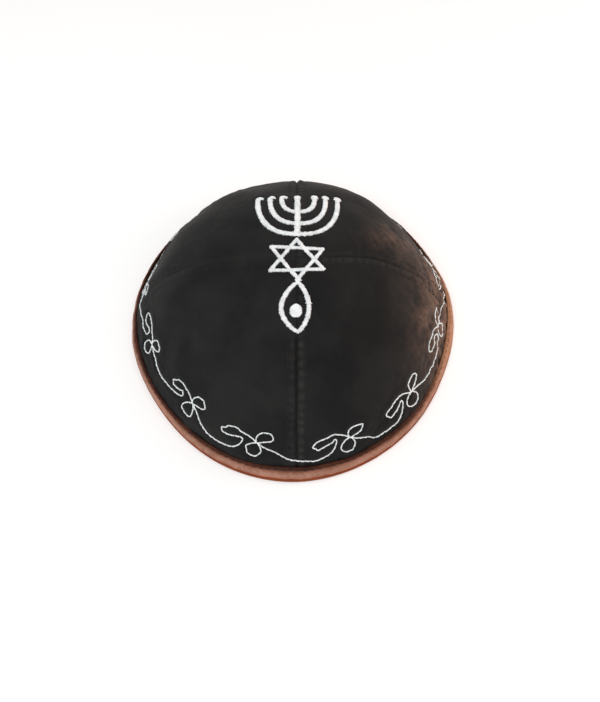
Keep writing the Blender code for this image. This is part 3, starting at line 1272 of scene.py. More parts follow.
@dataclass
class SatinFigure:
    """A raised figure in satin stitch: threads laid side by side across every stroke.

    Each thread dips under the suede at both ends. Widths, slants and heights vary a little at random.
    """

    node: str
    strokes: tuple[Stroke, ...]
    seed: int
    pitch: float = 0.4 * MM
    thread_radius: float = 0.24 * MM
    height: float = 0.75 * MM
    height_mean: float = 0.9
    height_jitter: float = 0.06
    roundness: float = 2.6
    sink: float = 0.12 * MM
    rings: int = 8
    ring_crowding: float = 0.75
    ring_pitch: float = 0.3 * MM
    slant: float = 0.22 * MM
    slant_jitter: float = 0.3
    tooth: float = 0.12
    mark_pitch: float = 0.8 * MM

    def marks(self, form: DomeForm) -> Array:
        """Points along the strokes on the smooth skin, for the suede's pucker.

        Args:
            form: The skin.

        Returns:
            The points.
        """
        rows = []
        for stroke in self.strokes:
            line = spaced(stroke.line, self.mark_pitch)
            rows.append(form.skin(*form.over(line[:, 0], line[:, 1])))
        return np.concatenate(rows)

    def threads(self, stroke: Stroke, draw: np.random.Generator) -> tuple[Array, Array]:
        """Lays the threads of one stroke in plan.

        Args:
            stroke: The stroke.
            draw: Source of the small unevenness.

        Returns:
            The plan points, as threads by rings by 2, and their heights over the suede.
        """
        width = np.broadcast_to(stroke.width, len(stroke.line))
        both = np.concatenate([stroke.line, width[:, None]], axis=1)
        line = spaced(both, self.pitch)
        heading = unit(np.gradient(line[:, :2], axis=0))
        across = np.stack([-heading[:, 1], heading[:, 0]], -1)
        count = len(line)
        half = line[:, 2] / 2 * (1 + self.tooth * draw.normal(size=count))
        part = np.linspace(-1, 1, self.rings)
        part = np.sign(part) * np.abs(part) ** self.ring_crowding
        sway = self.slant * (1 + self.slant_jitter * draw.normal(size=count))
        plan = (
            line[:, None, :2]
            + across[:, None] * (part[None, :, None] * half[:, None, None])
            + heading[:, None] * (part[None, :, None] * sway[:, None, None])
        )
        dome = np.maximum(1 - np.abs(part) ** self.roundness, 0)
        crest = self.height * (self.height_mean + self.height_jitter * draw.normal(size=count))
        return plan, crest[:, None] * dome[None] - self.sink + stroke.lift

    def build(self, shape: SoftShape, material: bpy.types.Material) -> bpy.types.Object:
        """Builds the figure.

        Args:
            shape: The real suede.
            material: The thread.

        Returns:
            The figure's piece.
        """
        draw = np.random.default_rng(self.seed)
        laid = [self.threads(stroke, draw) for stroke in self.strokes]
        plan = np.concatenate([plan for plan, _ in laid])
        rise = np.concatenate([rise for _, rise in laid])
        share, turn = shape.form.over(plan[..., 0], plan[..., 1])
        paths = shape.surface(share, turn, rise)
        ups = shape.form.normal(share, turn)
        return sewn_piece(
            self.node + "_stitches", paths, ups, self.thread_radius, self.ring_pitch, material,
            (self.node,),
        )


@dataclass
class Emblem:
    """The four embroidered figures over the crown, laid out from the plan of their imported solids.

    A bowl of the menorah gives its share of the widest one, its floor as a share of the figure's height and
    its sideways shift. The star's heights are shares of the way from the apex to its solid's front or back.
    """

    form: DomeForm
    stroke_menorah: float = 2.4 * MM
    stem_width: float = 2.8 * MM
    stem_gap: float = 0.5 * MM
    cup_reach: float = 4.2 * MM
    cup_width: float = 3.5 * MM
    cup_height: float = 1.7 * MM
    cup_lift: float = 0.12 * MM
    cup_drift: float = 0.5 * MM
    cup_inward: float = 0.5 * MM
    bowls: tuple[tuple[float, float, float], ...] = (
        (1.032, 0.045, 0.45 * MM), (0.715, 0.28, 0.35 * MM), (0.425, 0.57, 0.4 * MM),
    )
    bowl_roundness: float = 2.45
    bowl_points: int = 61
    stroke_star: float = 1.7 * MM
    star_height: float = 0.7 * MM
    star_lift: float = 0.16 * MM
    star_reach: float = 0.835
    star_shift: float = 0.3 * MM
    star_top: float = 0.86
    star_upper_left: float = 0.53
    star_upper_right: float = 0.38
    star_lower_bar: float = 0.52
    star_bottom: float = 0.9
    star_bottom_shift: float = 0.7 * MM
    star_corner: float = 0.34 * MM
    star_tail: float = 1.5 * MM
    stroke_fish: float = 2.1 * MM
    fish_points: int = 41
    fish_fullness: float = 0.75
    fish_shift: float = 0.6 * MM
    fish_slim: float = 0.35 * MM
    fish_lopside: float = 1.2 * MM
    fish_back_swell: float = 0.9
    fish_front_gain: float = 0.2
    fish_back_inset: float = 0.252 * MM
    fish_inset: float = 1.512 * MM
    fish_tip: float = 0.72
    fish_lift: float = 0.06 * MM
    eye_shift: float = -0.25 * MM
    eye_height: float = 1.0 * MM
    eye_reach: float = 0.94
    eye_width: float = 1.9
    eye_points: int = 25
    eye_rings: int = 12
    eye_tooth: float = 0.03
    figures: tuple[SatinFigure, ...] = field(init=False)

    def __post_init__(self) -> None:
        """Lays out the figures."""
        self.figures = (self.menorah(), self.star(), self.fish(), self.eye())

    def menorah(self) -> SatinFigure:
        """Seven-branched candlestick: a stem, three nested bowls and a cup on each branch.

        Returns:
            The figure.
        """
        node = "emblem_menorah"
        left, right, foot, back = self.form.plan_box(node)
        half_cup = self.cup_height / 2
        top = back - half_cup
        widest = (right - left - self.cup_reach) / 2
        strokes = [Stroke(np.array([[0, foot], [0, top - self.stem_gap]]), self.stem_width)]
        cups = [0.0]
        turns = np.linspace(-QUARTER_TURN, QUARTER_TURN, self.bowl_points)
        power = 2 / self.bowl_roundness
        for spread, floor, middle in self.bowls:
            half = widest * spread
            low = foot + floor * (top - foot)
            x = middle + half * np.sign(turns) * np.abs(np.sin(turns)) ** power
            y = top - (top - low) * np.maximum(np.cos(turns), 0) ** power
            strokes.append(Stroke(np.stack([x, y], -1), self.stroke_menorah))
            for side in (-1, 1):
                cups.append(middle + side * half + self.cup_drift - side * self.cup_inward)
        for x in cups:
            cup = np.array([[x, top - half_cup], [x, top + half_cup]])
            strokes.append(Stroke(cup, self.cup_width, lift=self.cup_lift))
        return SatinFigure(node, tuple(strokes), seed=51)

    def star(self) -> SatinFigure:
        """Six-pointed star of two crossed triangles. The two bars at its bottom run on past their corner.

        Returns:
            The figure.
        """
        node = "emblem_star"
        left, right, front, back = self.form.plan_box(node)
        half = (right - left) / 2 * self.star_reach
        shift, low_bar = self.star_shift, front * self.star_lower_bar
        upright = ((0, back * self.star_top), (-half + shift, low_bar), (half + shift, low_bar))
        inverted = (
            (self.star_bottom_shift, front * self.star_bottom),
            (half + shift, back * self.star_upper_right),
            (-half + shift, back * self.star_upper_left),
        )
        strokes = []
        for lift, corners, tails in (
            (0.0, upright, (self.star_corner,) * 3),
            (self.star_lift, inverted, (self.star_tail, self.star_corner, self.star_corner)),
        ):
            for first, second in ((0, 1), (1, 2), (2, 0)):
                start, end = np.array(corners[first]), np.array(corners[second])
                heading = unit(end - start)
                line = np.array([start - tails[first] * heading, end + tails[second] * heading])
                strokes.append(Stroke(line, self.stroke_star, lift=lift))
        return SatinFigure(node, tuple(strokes), height=self.star_height, seed=52)

    def fish(self) -> SatinFigure:
        """Fish drawn as a lens-shaped outline, fuller on its left and towards the front.

        Returns:
            The figure.
        """
        node = "emblem_fish"
        left, right, front, back = self.form.plan_box(node)
        half = (right - left - self.stroke_fish) / 2 - self.fish_slim
        part = np.linspace(0.0, 1.0, self.fish_points)
        belly = np.sin(math.pi * part)
        y = back - self.fish_back_inset - part * (back - front - self.fish_inset)
        swell = belly**self.fish_fullness * (self.fish_back_swell + self.fish_front_gain * part)
        width = self.stroke_fish * (self.fish_tip + (1 - self.fish_tip) * belly**0.5)
        strokes = []
        for side, lift in ((1, self.fish_lift), (-1, 0.0)):
            x = side * (half - side * self.fish_lopside) * swell + self.fish_shift
            strokes.append(Stroke(np.stack([x, y], -1), width, lift=lift))
        return SatinFigure(node, tuple(strokes), seed=53)

    def eye(self) -> SatinFigure:
        """Solid round eye.

        Returns:
            The figure.
        """
        node = "emblem_eye"
        left, right, front, back = self.form.plan_box(node)
        radius, middle = (right - left) / 2, (front + back) / 2
        part = np.linspace(-self.eye_reach, self.eye_reach, self.eye_points)
        line = np.stack([0 * part + self.eye_shift, middle + radius * part], -1)
        width = self.eye_width * radius * np.sqrt(1 - part**2)
        return SatinFigure(
            node, (Stroke(line, width),), height=self.eye_height, rings=self.eye_rings, slant=0.0,
            tooth=self.eye_tooth, seed=54,
        )


@dataclass(frozen=True)
class Crossing:
    """A crossing of the scroll, where its two loops meet, and how its stitching turned out.

    Its place is in degrees round and millimetres up the wall, and so are hook_shift and hook_drop. The dip
    stretches the line beside it up and down, and sag only the line that leaves it.
    """

    turn: float
    rise: float
    hook_shift: float = 0.0
    hook_drop: float = 0.0
    dip: float = 1.0
    sag: float = 1.0
    size: float = 1.0


@dataclass
class VineScroll:
    """The thin silver scroll that runs round the side: a wavy line with two loops at every crossing.

    The line and the loops of one crossing are told in degrees and millimetres from it. The line's entry
    lies left of entry_stop and below hook_floor, and its hook left of hook_stop and above that. It leaves
    from leaving_start on, and its last point is stretched to the next crossing.
    """

    form: DomeForm
    seen: tuple[Crossing, ...] = (
        Crossing(202.7, 19.2, dip=0.7),
        Crossing(231.0, 19.5, hook_shift=1.5, dip=1.2, sag=1.45),
        Crossing(256.9, 17.7, dip=1.3),
        Crossing(288.7, 16.9, hook_shift=-0.4, hook_drop=1.3, dip=1.3, sag=1.1),
        Crossing(316.7, 17.9, hook_drop=1.4, size=1.04),
        Crossing(347.0, 17.8),
    )
    unseen: int = 7
    back_rise: float = 11.2
    back_size: float = 0.7
    back_dip: float = 0.6
    line: Places = (
        (-13.4, -5.7), (-10.2, -5.4), (-7.4, -4.4), (-5.6, -2.4), (-4.9, -0.2), (-5.4, 1.1), (-7.0, 1.0),
        (-9.2, 0.0), (-11.0, -0.7), (-12.1, -0.1), (-12.6, 1.2), (-11.9, 2.6), (-10.2, 3.9), (-8.0, 4.5),
        (-5.6, 3.9), (-3.4, 2.8), (-1.6, 1.4), (0.0, 0.0), (3.0, -1.2), (6.2, -2.9), (9.2, -4.5),
    )
    entry_stop: float = -5.0
    hook_stop: float = -6.0
    hook_floor: float = -2.0
    leaving_start: float = 2.0
    stretch_start: float = 8.0
    unit_degrees: float = 28.5
    upper_loop: Places = (
        (0.0, 0.0), (-0.5, 2.2), (0.1, 4.2), (1.7, 5.4), (3.7, 5.3), (5.0, 4.3), (5.2, 3.0), (4.2, 1.8),
        (2.0, 0.8),
    )
    lower_loop: Places = (
        (0.0, 0.0), (-2.0, -1.2), (-3.2, -3.0), (-3.2, -5.0), (-2.2, -6.5), (-0.4, -6.9), (1.1, -5.7),
        (1.5, -3.8), (1.0, -1.8),
    )
    jitter: float = 0.22
    seed: int = 71
    curve_steps: int = 10
    point_pitch: float = 0.25 * MM
    mark_step: int = 3
    stitch: float = 2.3 * MM
    overlap: float = 0.12 * MM
    rings: int = 9
    arch_height: float = 0.3 * MM
    arch_fullness: float = 0.6
    arch_sink: float = 0.1 * MM
    strand_radius: float = 0.21 * MM
    strand_offset: float = 0.17 * MM
    ply_length: float = 1.5 * MM
    paths: list[Array] = field(init=False)

    def __post_init__(self) -> None:
        """Draws the line and the loops, as evenly spaced points of the skin."""
        marks = self.seen + self.hidden()
        draw = np.random.default_rng(self.seed)
        line, loops = [], []
        for index, mark in enumerate(marks):
            before, after = marks[index - 1], marks[(index + 1) % len(marks)]
            wave = self.fitted_line(mark, before, (after.turn - mark.turn) % 360)
            line.append(self.placed(wave, mark, draw))
            for loop in (self.upper_loop, self.lower_loop):
                loops.append(self.placed(np.array(loop) * mark.size, mark, draw))
        self.paths = [self.on_skin(path) for path in (np.concatenate(line), *loops)]

    def fitted_line(self, mark: Crossing, before: Crossing, gap: float) -> Array:
        """The wavy line of one crossing, bent to reach its neighbours.

        Args:
            mark: The crossing.
            before: The crossing before it.
            gap: Degrees to the crossing after it.

        Returns:
            Degrees and millimetres from the crossing.
        """
        x, y = np.array(self.line).T * mark.size
        entry = (x < self.entry_stop) & (y < self.hook_floor)
        hook = (x < self.hook_stop) & (y > self.hook_floor)
        left = np.where(entry, y * before.dip, y - mark.hook_drop * hook)
        level = np.where(x > self.leaving_start, y * mark.dip * mark.sag, left)
        stretched = np.where(x > self.stretch_start, x * gap / self.unit_degrees, x)
        return np.stack([stretched + mark.hook_shift * hook, level], -1)

    def placed(self, points: Array, mark: Crossing, draw: np.random.Generator) -> Array:
        """Moves points to their crossing, all but the crossing's own a little off at random."""
        loose = (np.abs(points).sum(1) > 0)[:, None]
        return points + self.jitter * draw.normal(size=points.shape) * loose + (mark.turn, mark.rise)

    def hidden(self) -> tuple[Crossing, ...]:
        """Crossings round the back, which lie lower and are sewn smaller.

        Returns:
            The crossings.
        """
        last, first = self.seen[-1], self.seen[0]
        made = []
        for step in range(1, self.unseen + 1):
            part = step / (self.unseen + 1)
            back = math.sin(math.pi * part) ** 0.5
            turn = last.turn + part * (first.turn + 360 - last.turn)
            rise = last.rise + back * (self.back_rise - last.rise)
            dip, size = 1 + back * (self.back_dip - 1), 1 + back * (self.back_size - 1)
            made.append(Crossing(turn, rise, dip=dip, size=size))
        return tuple(made)

    def on_skin(self, marks: Array) -> Array:
        """Smooths a closed line of degrees and millimetres and spaces it evenly.

        Args:
            marks: Degrees round and millimetres up the wall.

        Returns:
            Points of the smooth skin.
        """
        turn = np.radians(marks[:, 0])
        flat = np.stack([np.cos(turn), np.sin(turn), marks[:, 1] * MM], -1)
        dense = spline(flat, self.curve_steps)
        turn = np.arctan2(dense[:, 1], dense[:, 0])
        share = self.form.share_at_rise(dense[:, 2])
        return spaced(self.form.skin(share, turn), self.point_pitch, True)

    def marks(self) -> Array:
        """Points along the scroll on the smooth skin, for the suede's pucker."""
        return np.concatenate([path[:: self.mark_step] for path in self.paths])

    def build(self, shape: SoftShape, material: bpy.types.Material) -> bpy.types.Object:
        """Sews the scroll in stitches of two twisted strands.

        Args:
            shape: The real suede.
            material: The thread.

        Returns:
            The scroll's piece.
        """
        paths, ups = [], []
        part = np.linspace(0, 1, self.rings)
        rise = arch(part, self.arch_height, self.arch_fullness, self.arch_sink)
        for line in self.paths:
            ring = np.concatenate([line, line[:1]])
            run = run_along(ring)
            count = max(3, round(run[-1] / self.stitch))
            starts = np.arange(count) * run[-1] / count
            places = (starts[:, None] + part[None] * (run[-1] / count + self.overlap)) % run[-1]
            middle = points_at(ring, run, places)
            share, turn = self.form.over(middle[..., 0], middle[..., 1])
            normal = self.form.normal(share, turn)
            base = shape.surface(share, turn, rise[None])
            heading = unit(np.gradient(base, axis=1))
            across = unit(np.cross(heading, normal))
            wind = TAU * places / self.ply_length
            for phase in (0, math.pi):
                offset = across * np.cos(wind + phase)[..., None] + normal * np.sin(wind + phase)[..., None]
                paths.append(base + self.strand_offset * offset)
                ups.append(normal)
        return sewn_piece(
            "vine_scroll_stitches", np.concatenate(paths), np.concatenate(ups), self.strand_radius,
            self.stitch / (self.rings - 1), material,
        )


@dataclass
class SuedeGores:
    """The four sewn gores of the dome, each a closed sheet with raised seam allowances inside."""

    shape: SoftShape
    thickness: float = 2 * MM
    cells: int = 150
    fine_cell: float = 0.28
    wide_cell: float = 0.95
    fine_cells: int = 22
    foot_level: float = 1.7 * MM
    allowance_width: float = 6 * MM
    allowance_height: float = 0.7 * MM
    allowance_ragged: float = 0.4 * MM
    allowance_edge: float = 0.5 * MM
    allowance_split: tuple[float, float] = (0.1 * MM, 0.8 * MM)
    inner_slow: float = 0.3 * MM
    inner_middling: float = 0.1 * MM
    inner_even_rise: tuple[float, float] = (4 * MM, 16 * MM)
    rim_points: int = 91

    def grid(self) -> tuple[Array, Array]:
        """Shares and turns of one gore's points, close together along its seams.

        Returns:
            The shares and the turns, as square grids.
        """
        growth = np.clip(np.arange(self.cells) / self.fine_cells, 0, 1) ** 2
        steps = self.fine_cell + (self.wide_cell - self.fine_cell) * growth
        marks = np.concatenate([[0], np.cumsum(steps)]) / steps.sum()
        u, v = np.meshgrid(marks, marks, indexing="ij")
        x, y = u * np.sqrt(1 - v**2 / 2), v * np.sqrt(1 - u**2 / 2)
        form = self.shape.form
        foot = (1 - self.foot_level / form.height) ** (1 / form.power)
        run = np.hypot(x, y) * form.run_at_share(foot)
        return form.share_at_run(run), np.arctan2(y, x)

    def inner_face(self, share: Array, turn: Array) -> Array:
        """Points of the inside, where the seam allowances are pressed open.

        Args:
            share: Shares of the way from apex to table.
            turn: Angles from the right.

        Returns:
            The points.
        """
        shape, form = self.shape, self.shape.form
        skin = form.skin(share, turn)
        rise = form.rise_at_share(share)
        slow, middling = shape.slow.at(skin), shape.middling.at(skin)
        gap = np.minimum(np.abs(skin[..., 0]), np.abs(skin[..., 1]))
        past = gap - self.allowance_width - self.allowance_ragged * middling
        ending = smooth_rise(past, -self.allowance_edge, self.allowance_edge)
        allowance = self.allowance_height * (1 - ending) * smooth_rise(gap, *self.allowance_split)
        uneven = self.inner_slow * slow + self.inner_middling * middling
        offset = uneven * smooth_rise(rise, *self.inner_even_rise) - allowance - self.thickness
        return shape.off_skin(share, turn, offset + shape.bow(rise, turn))

    def flat_size(self, share: Array, turn: Array) -> tuple[float, float, float]:
        """Size of a gore's cut: width along the rim, length from rim to apex, and area.

        Args:
            share: Shares of its points.
            turn: Turns of its points.

        Returns:
            The width, the length and the area.
        """
        form = self.shape.form
        skin = form.skin(share, turn)
        a, b = skin[1:, 1:] - skin[:-1, :-1], skin[1:, :-1] - skin[:-1, 1:]
        area = np.linalg.norm(np.cross(a, b), axis=-1).sum() / 2
        corner = np.linspace(0, QUARTER_TURN, self.rim_points)
        edge = form.skin(np.full(self.rim_points, share.max()), corner)
        width = np.linalg.norm(np.diff(edge, axis=0), axis=1).sum()
        return float(width), float(form.run_at_share(share.max())), float(area)

    def faces(self) -> Array:
        """Faces of a gore: its outside, its inside and the four walls between them.

        Returns:
            Four point numbers for each face.
        """
        side = self.cells + 1
        face = join_sheets(side, side)
        outer = np.arange(side * side).reshape(side, side)
        walls = []
        rows = ((outer[:, 0], True), (outer[:, -1], False), (outer[0], False), (outer[-1], True))
        for row, forward in rows:
            inner = row + outer.size
            wall = np.stack([row[:-1], inner[:-1], inner[1:], row[1:]], -1)
            walls.append(wall if forward else wall[:, ::-1])
        return np.concatenate([face, face[:, ::-1] + outer.size, *walls])

    def build(self, finishes: dict[Gore, bpy.types.Material]) -> list[bpy.types.Object]:
        """Args:
            finishes: The material of each gore.

        Returns:
            The gores' pieces.
        """
        shape = self.shape
        share, local = self.grid()
        faces = self.faces()
        made = []
        for gore in Gore:
            turn = local + gore.start
            height, proud, painted_sheen = shape.relief(shape.form.skin(share, turn), share, turn)
            outer, inner = shape.off_skin(share, turn, height), self.inner_face(share, turn)
            points = np.concatenate([outer.reshape(-1, 3), inner.reshape(-1, 3)])
            piece = new_piece(gore.node + "_suede", points, faces, finishes[gore], (gore.node,))
            # Lip mask for rubbed wear and painted highlight, and the painted sheen of the light from the
            # right, on the outer face only.
            for name, values in (("rub", proud), ("painted_sheen", painted_sheen)):
                add_value(piece, name, np.concatenate([values.ravel(), np.zeros(values.size)]))
            width, length, area = self.flat_size(share, turn)
            LOG.info("%s: cut %.4f by %.4f, %.5f square metres", gore.node, width, length, area)
            made.append(piece)
        return made


@dataclass
class SeamStitching:
    """Black topstitching along both sides of every seam. The long seam has none under the emblem."""

    shape: SoftShape
    start: float = 6 * MM
    stop: float = 9 * MM
    length: float = 2.9 * MM
    radius: float = 0.17 * MM
    rings: int = 7
    arch_height: float = 0.26 * MM
    arch_fullness: float = 0.7
    arch_sink: float = 0.14 * MM
    emblem_clear: float = 2 * MM

    def build(self, material: bpy.types.Material) -> bpy.types.Object:
        """Sews the stitches.

        Args:
            material: The thread.

        Returns:
            The stitches' piece.
        """
        shape, form = self.shape, self.shape.form
        starts = np.arange(self.start, form.wall_length - self.stop, shape.pucker_pitch)
        part = np.linspace(0, 1, self.rings)
        run = starts[:, None] + part[None] * self.length
        rise = arch(part, self.arch_height, self.arch_fullness, self.arch_sink)[None]
        paths, ups = [], []
        for quarter in range(4):
            middle = form.skin(form.share_at_run(run), np.full_like(run, quarter * QUARTER_TURN))
            x, y = middle[..., 0], middle[..., 1]
            runs_along = quarter % 2 == 1
            behind = y[:, 0] > shape.emblem_back + self.emblem_clear
            before = y[:, -1] < shape.emblem_front - self.emblem_clear
            keep = behind | before if runs_along else np.ones(len(starts), bool)
            for aside in (-shape.topstitch_place, shape.topstitch_place):
                share, turn = form.over(x + aside, y) if runs_along else form.over(x, y + aside)
                paths.append(shape.surface(share, turn, rise)[keep])
                ups.append(form.normal(share, turn)[keep])
        return sewn_piece(
            "seam_stitches", np.concatenate(paths), np.concatenate(ups), self.radius,
            self.length / (self.rings - 1), material,
        )


@dataclass
class EdgeBinding:
    """The leather strip folded over the rim, with its stitches and the lapped join at the back.

    The section gives distances from the skin and heights over the table in millimetres. It runs from the
    strip's upper outer edge down the outside, under the rim, up the inside and back round the suede's foot.
    """

    shape: SoftShape
    around: int = 1296
    height: float = 6.7 * MM
    section: Places = (
        (0.15, 6.2), (0.45, 6.65), (0.95, 6.7), (1.25, 6.4), (1.15, 6.0), (1.0, 5.7), (1.2, 5.3),
        (1.45, 4.7), (1.66, 3.9), (1.74, 3.3), (1.7, 2.7), (1.64, 2.3), (1.46, 1.95), (1.68, 1.6),
        (1.7, 1.1), (1.4, 0.5), (0.8, 0.08), (-0.3, 0.0), (-1.7, 0.0), (-2.7, 0.12), (-3.4, 0.8),
        (-3.6, 1.9), (-3.55, 3.1), (-3.3, 4.0), (-3.2, 4.5), (-3.4, 5.0), (-3.3, 5.45), (-2.9, 5.65),
        (-2.45, 5.4), (-2.2, 4.8), (-2.15, 3.2), (-2.15, 1.6), (-1.8, 1.0), (-1.05, 0.85), (-0.3, 1.0),
        (0.02, 1.6), (0.04, 3.2), (0.06, 4.9),
    )
    smoothing: int = 2
    middle: float = -1 * MM
    outer_zone: tuple[float, float] = (1.3 * MM, 2.1 * MM)
    uneven_zone: tuple[float, float] = (0.4 * MM, 2.2 * MM)
    wavy_zone: tuple[float, float] = (3 * MM, 6.5 * MM)
    pucker_pitch: float = 3.3 * MM
    pucker: float = 0.07 * MM
    pucker_level: float = 5.2 * MM
    pucker_width: float = 1.6 * MM
    pucker_rise: float = 0.05 * MM
    wave: float = 0.22 * MM
    ripple: float = 0.07 * MM
    slow: Waves = Waves(seed=91, shortest=18 * MM, longest=40 * MM)
    quick: Waves = Waves(seed=92, shortest=4 * MM, longest=9 * MM)
    join_turn: float = 97.0
    join_length: float = 9 * MM
    join_fade: float = 0.6
    join_edge: float = 0.5 * MM
    join_slant: float = 0.5
    join_level: float = 3 * MM
    join_step: float = 0.45 * MM
    thread_radius: float = 0.2 * MM
    stitch_rows: tuple[tuple[float, float, int], ...] = (
        (1.0 * MM, 5.75 * MM, 1), (-3.2 * MM, 4.45 * MM, -1),
    )
    stitch_gap: float = 0.12
    rings: int = 7
    arch_height: float = 0.3 * MM
    arch_fullness: float = 0.7
    arch_sink: float = 0.1 * MM

    @property
    def stitches(self) -> int:
        """Number of stitches round the rim."""
        return round(TAU * self.shape.form.mean_half / self.pucker_pitch)

    def lay(self, offset: Array, level: Array, turn: Array) -> Array:
        """Lays points of the section round the rim.

        Args:
            offset: Distances from the skin.
            level: Heights over the table.
            turn: Angles from the right.

        Returns:
            The points.
        """
        form = self.shape.form
        share = form.share_at_level(turn, offset, level)
        return self.shape.off_skin(share, turn, offset + self.shape.bow(form.rise_at_share(share), turn))

    def lap(self, turn: Array, level: Array) -> Array:
        """How far the strip lies on its own end, from 0 to 1, at the slanting join.

        Args:
            turn: Angles from the right.
            level: Heights over the table.

        Returns:
            One share for each point.
        """
        gap = np.radians(degrees_from(turn, self.join_turn)) * self.shape.form.mean_half
        lap = smooth_rise(gap + self.join_slant * (level - self.join_level), 0, self.join_edge)
        return lap * (1 - smooth_rise(gap, self.join_fade * self.join_length, self.join_length))

    def unevenness(self, turn: Array, offset: Array, level: Array) -> tuple[Array, Array]:
        """Puckers, waves and the lapped join of the strip.

        Args:
            turn: Angles from the right.
            offset: Distances from the skin of the even section.
            level: Heights over the table of the even section.

        Returns:
            The real distances and heights.
        """
        mean = self.shape.form.mean_half
        ring = np.stack([mean * np.cos(turn), mean * np.sin(turn), 0 * turn], -1)
        pulse = np.cos(turn * self.stitches)
        side = offset - self.middle
        outward = np.sign(side) * smooth_rise(np.abs(side), *self.outer_zone)
        high = smooth_rise(level, *self.uneven_zone)
        swell = self.pucker * pulse * bell(level - self.pucker_level, self.pucker_width)
        swell += self.ripple * self.quick.at(ring) + self.join_step * self.lap(turn, level)
        wave = self.wave * self.slow.at(ring) + self.pucker_rise * pulse
        return offset + outward * high * swell, level + high * smooth_rise(level, *self.wavy_zone) * wave

    def build(self, material: bpy.types.Material) -> bpy.types.Object:
        """Builds the strip.

        Args:
            material: The leather.

        Returns:
            The strip's piece.
        """
        outline = spline(np.array(self.section) * MM, self.smoothing)
        outline[:, 1] = np.maximum(outline[:, 1], 0)
        turn = np.linspace(0, TAU, self.around, endpoint=False)
        turn, offset = np.meshgrid(turn, outline[:, 0], indexing="ij")
        offset, level = self.unevenness(turn, offset, np.broadcast_to(outline[:, 1], turn.shape))
        points = self.lay(offset, level, turn).reshape(-1, 3)
        rows, columns = turn.shape
        faces = join_sheets(rows + 1, columns, closed=True) % (rows * columns)
        piece = new_piece("edge_binding_leather", points, faces, material, ("edge_binding",))
        add_value(piece, "across", np.clip(1 - level / self.height, 0, 1))
        # Painted warm sheen of the light from the right, for the leather's colour.
        add_value(piece, "painted_sheen", np.clip(strength(self.shape.painted_sheen, turn, level), 0, 1))
        return piece

    def build_stitches(self, material: bpy.types.Material) -> bpy.types.Object:
        """Sews the strip down, outside and inside.

        Args:
            material: The thread.

        Returns:
            The stitches' piece.
        """
        form = self.shape.form
        part = np.linspace(self.stitch_gap, 1 - self.stitch_gap, self.rings)
        turn = (np.arange(self.stitches)[:, None] + part[None]) * TAU / self.stitches
        whole = np.linspace(0, 1, self.rings)
        rise = arch(whole, self.arch_height, self.arch_fullness, self.arch_sink)[None]
        paths, ups = [], []
        for offset, level, side in self.stitch_rows:
            offset, level = self.unevenness(turn, np.full_like(turn, offset), np.full_like(turn, level))
            paths.append(self.lay(offset + side * rise, level, turn))
            ups.append(side * form.normal(form.share_at_level(turn, offset, level), turn))
        return sewn_piece(
            "binding_stitches", np.concatenate(paths), np.concatenate(ups), self.thread_radius,
            self.pucker_pitch / self.rings, material,
        )


@dataclass(frozen=True)
class Lamp:
    """A soft square light: where it hangs, the length of its side, its power and its colour."""

    name: str
    place: Point
    size: float
    power: float
    colour: Colour


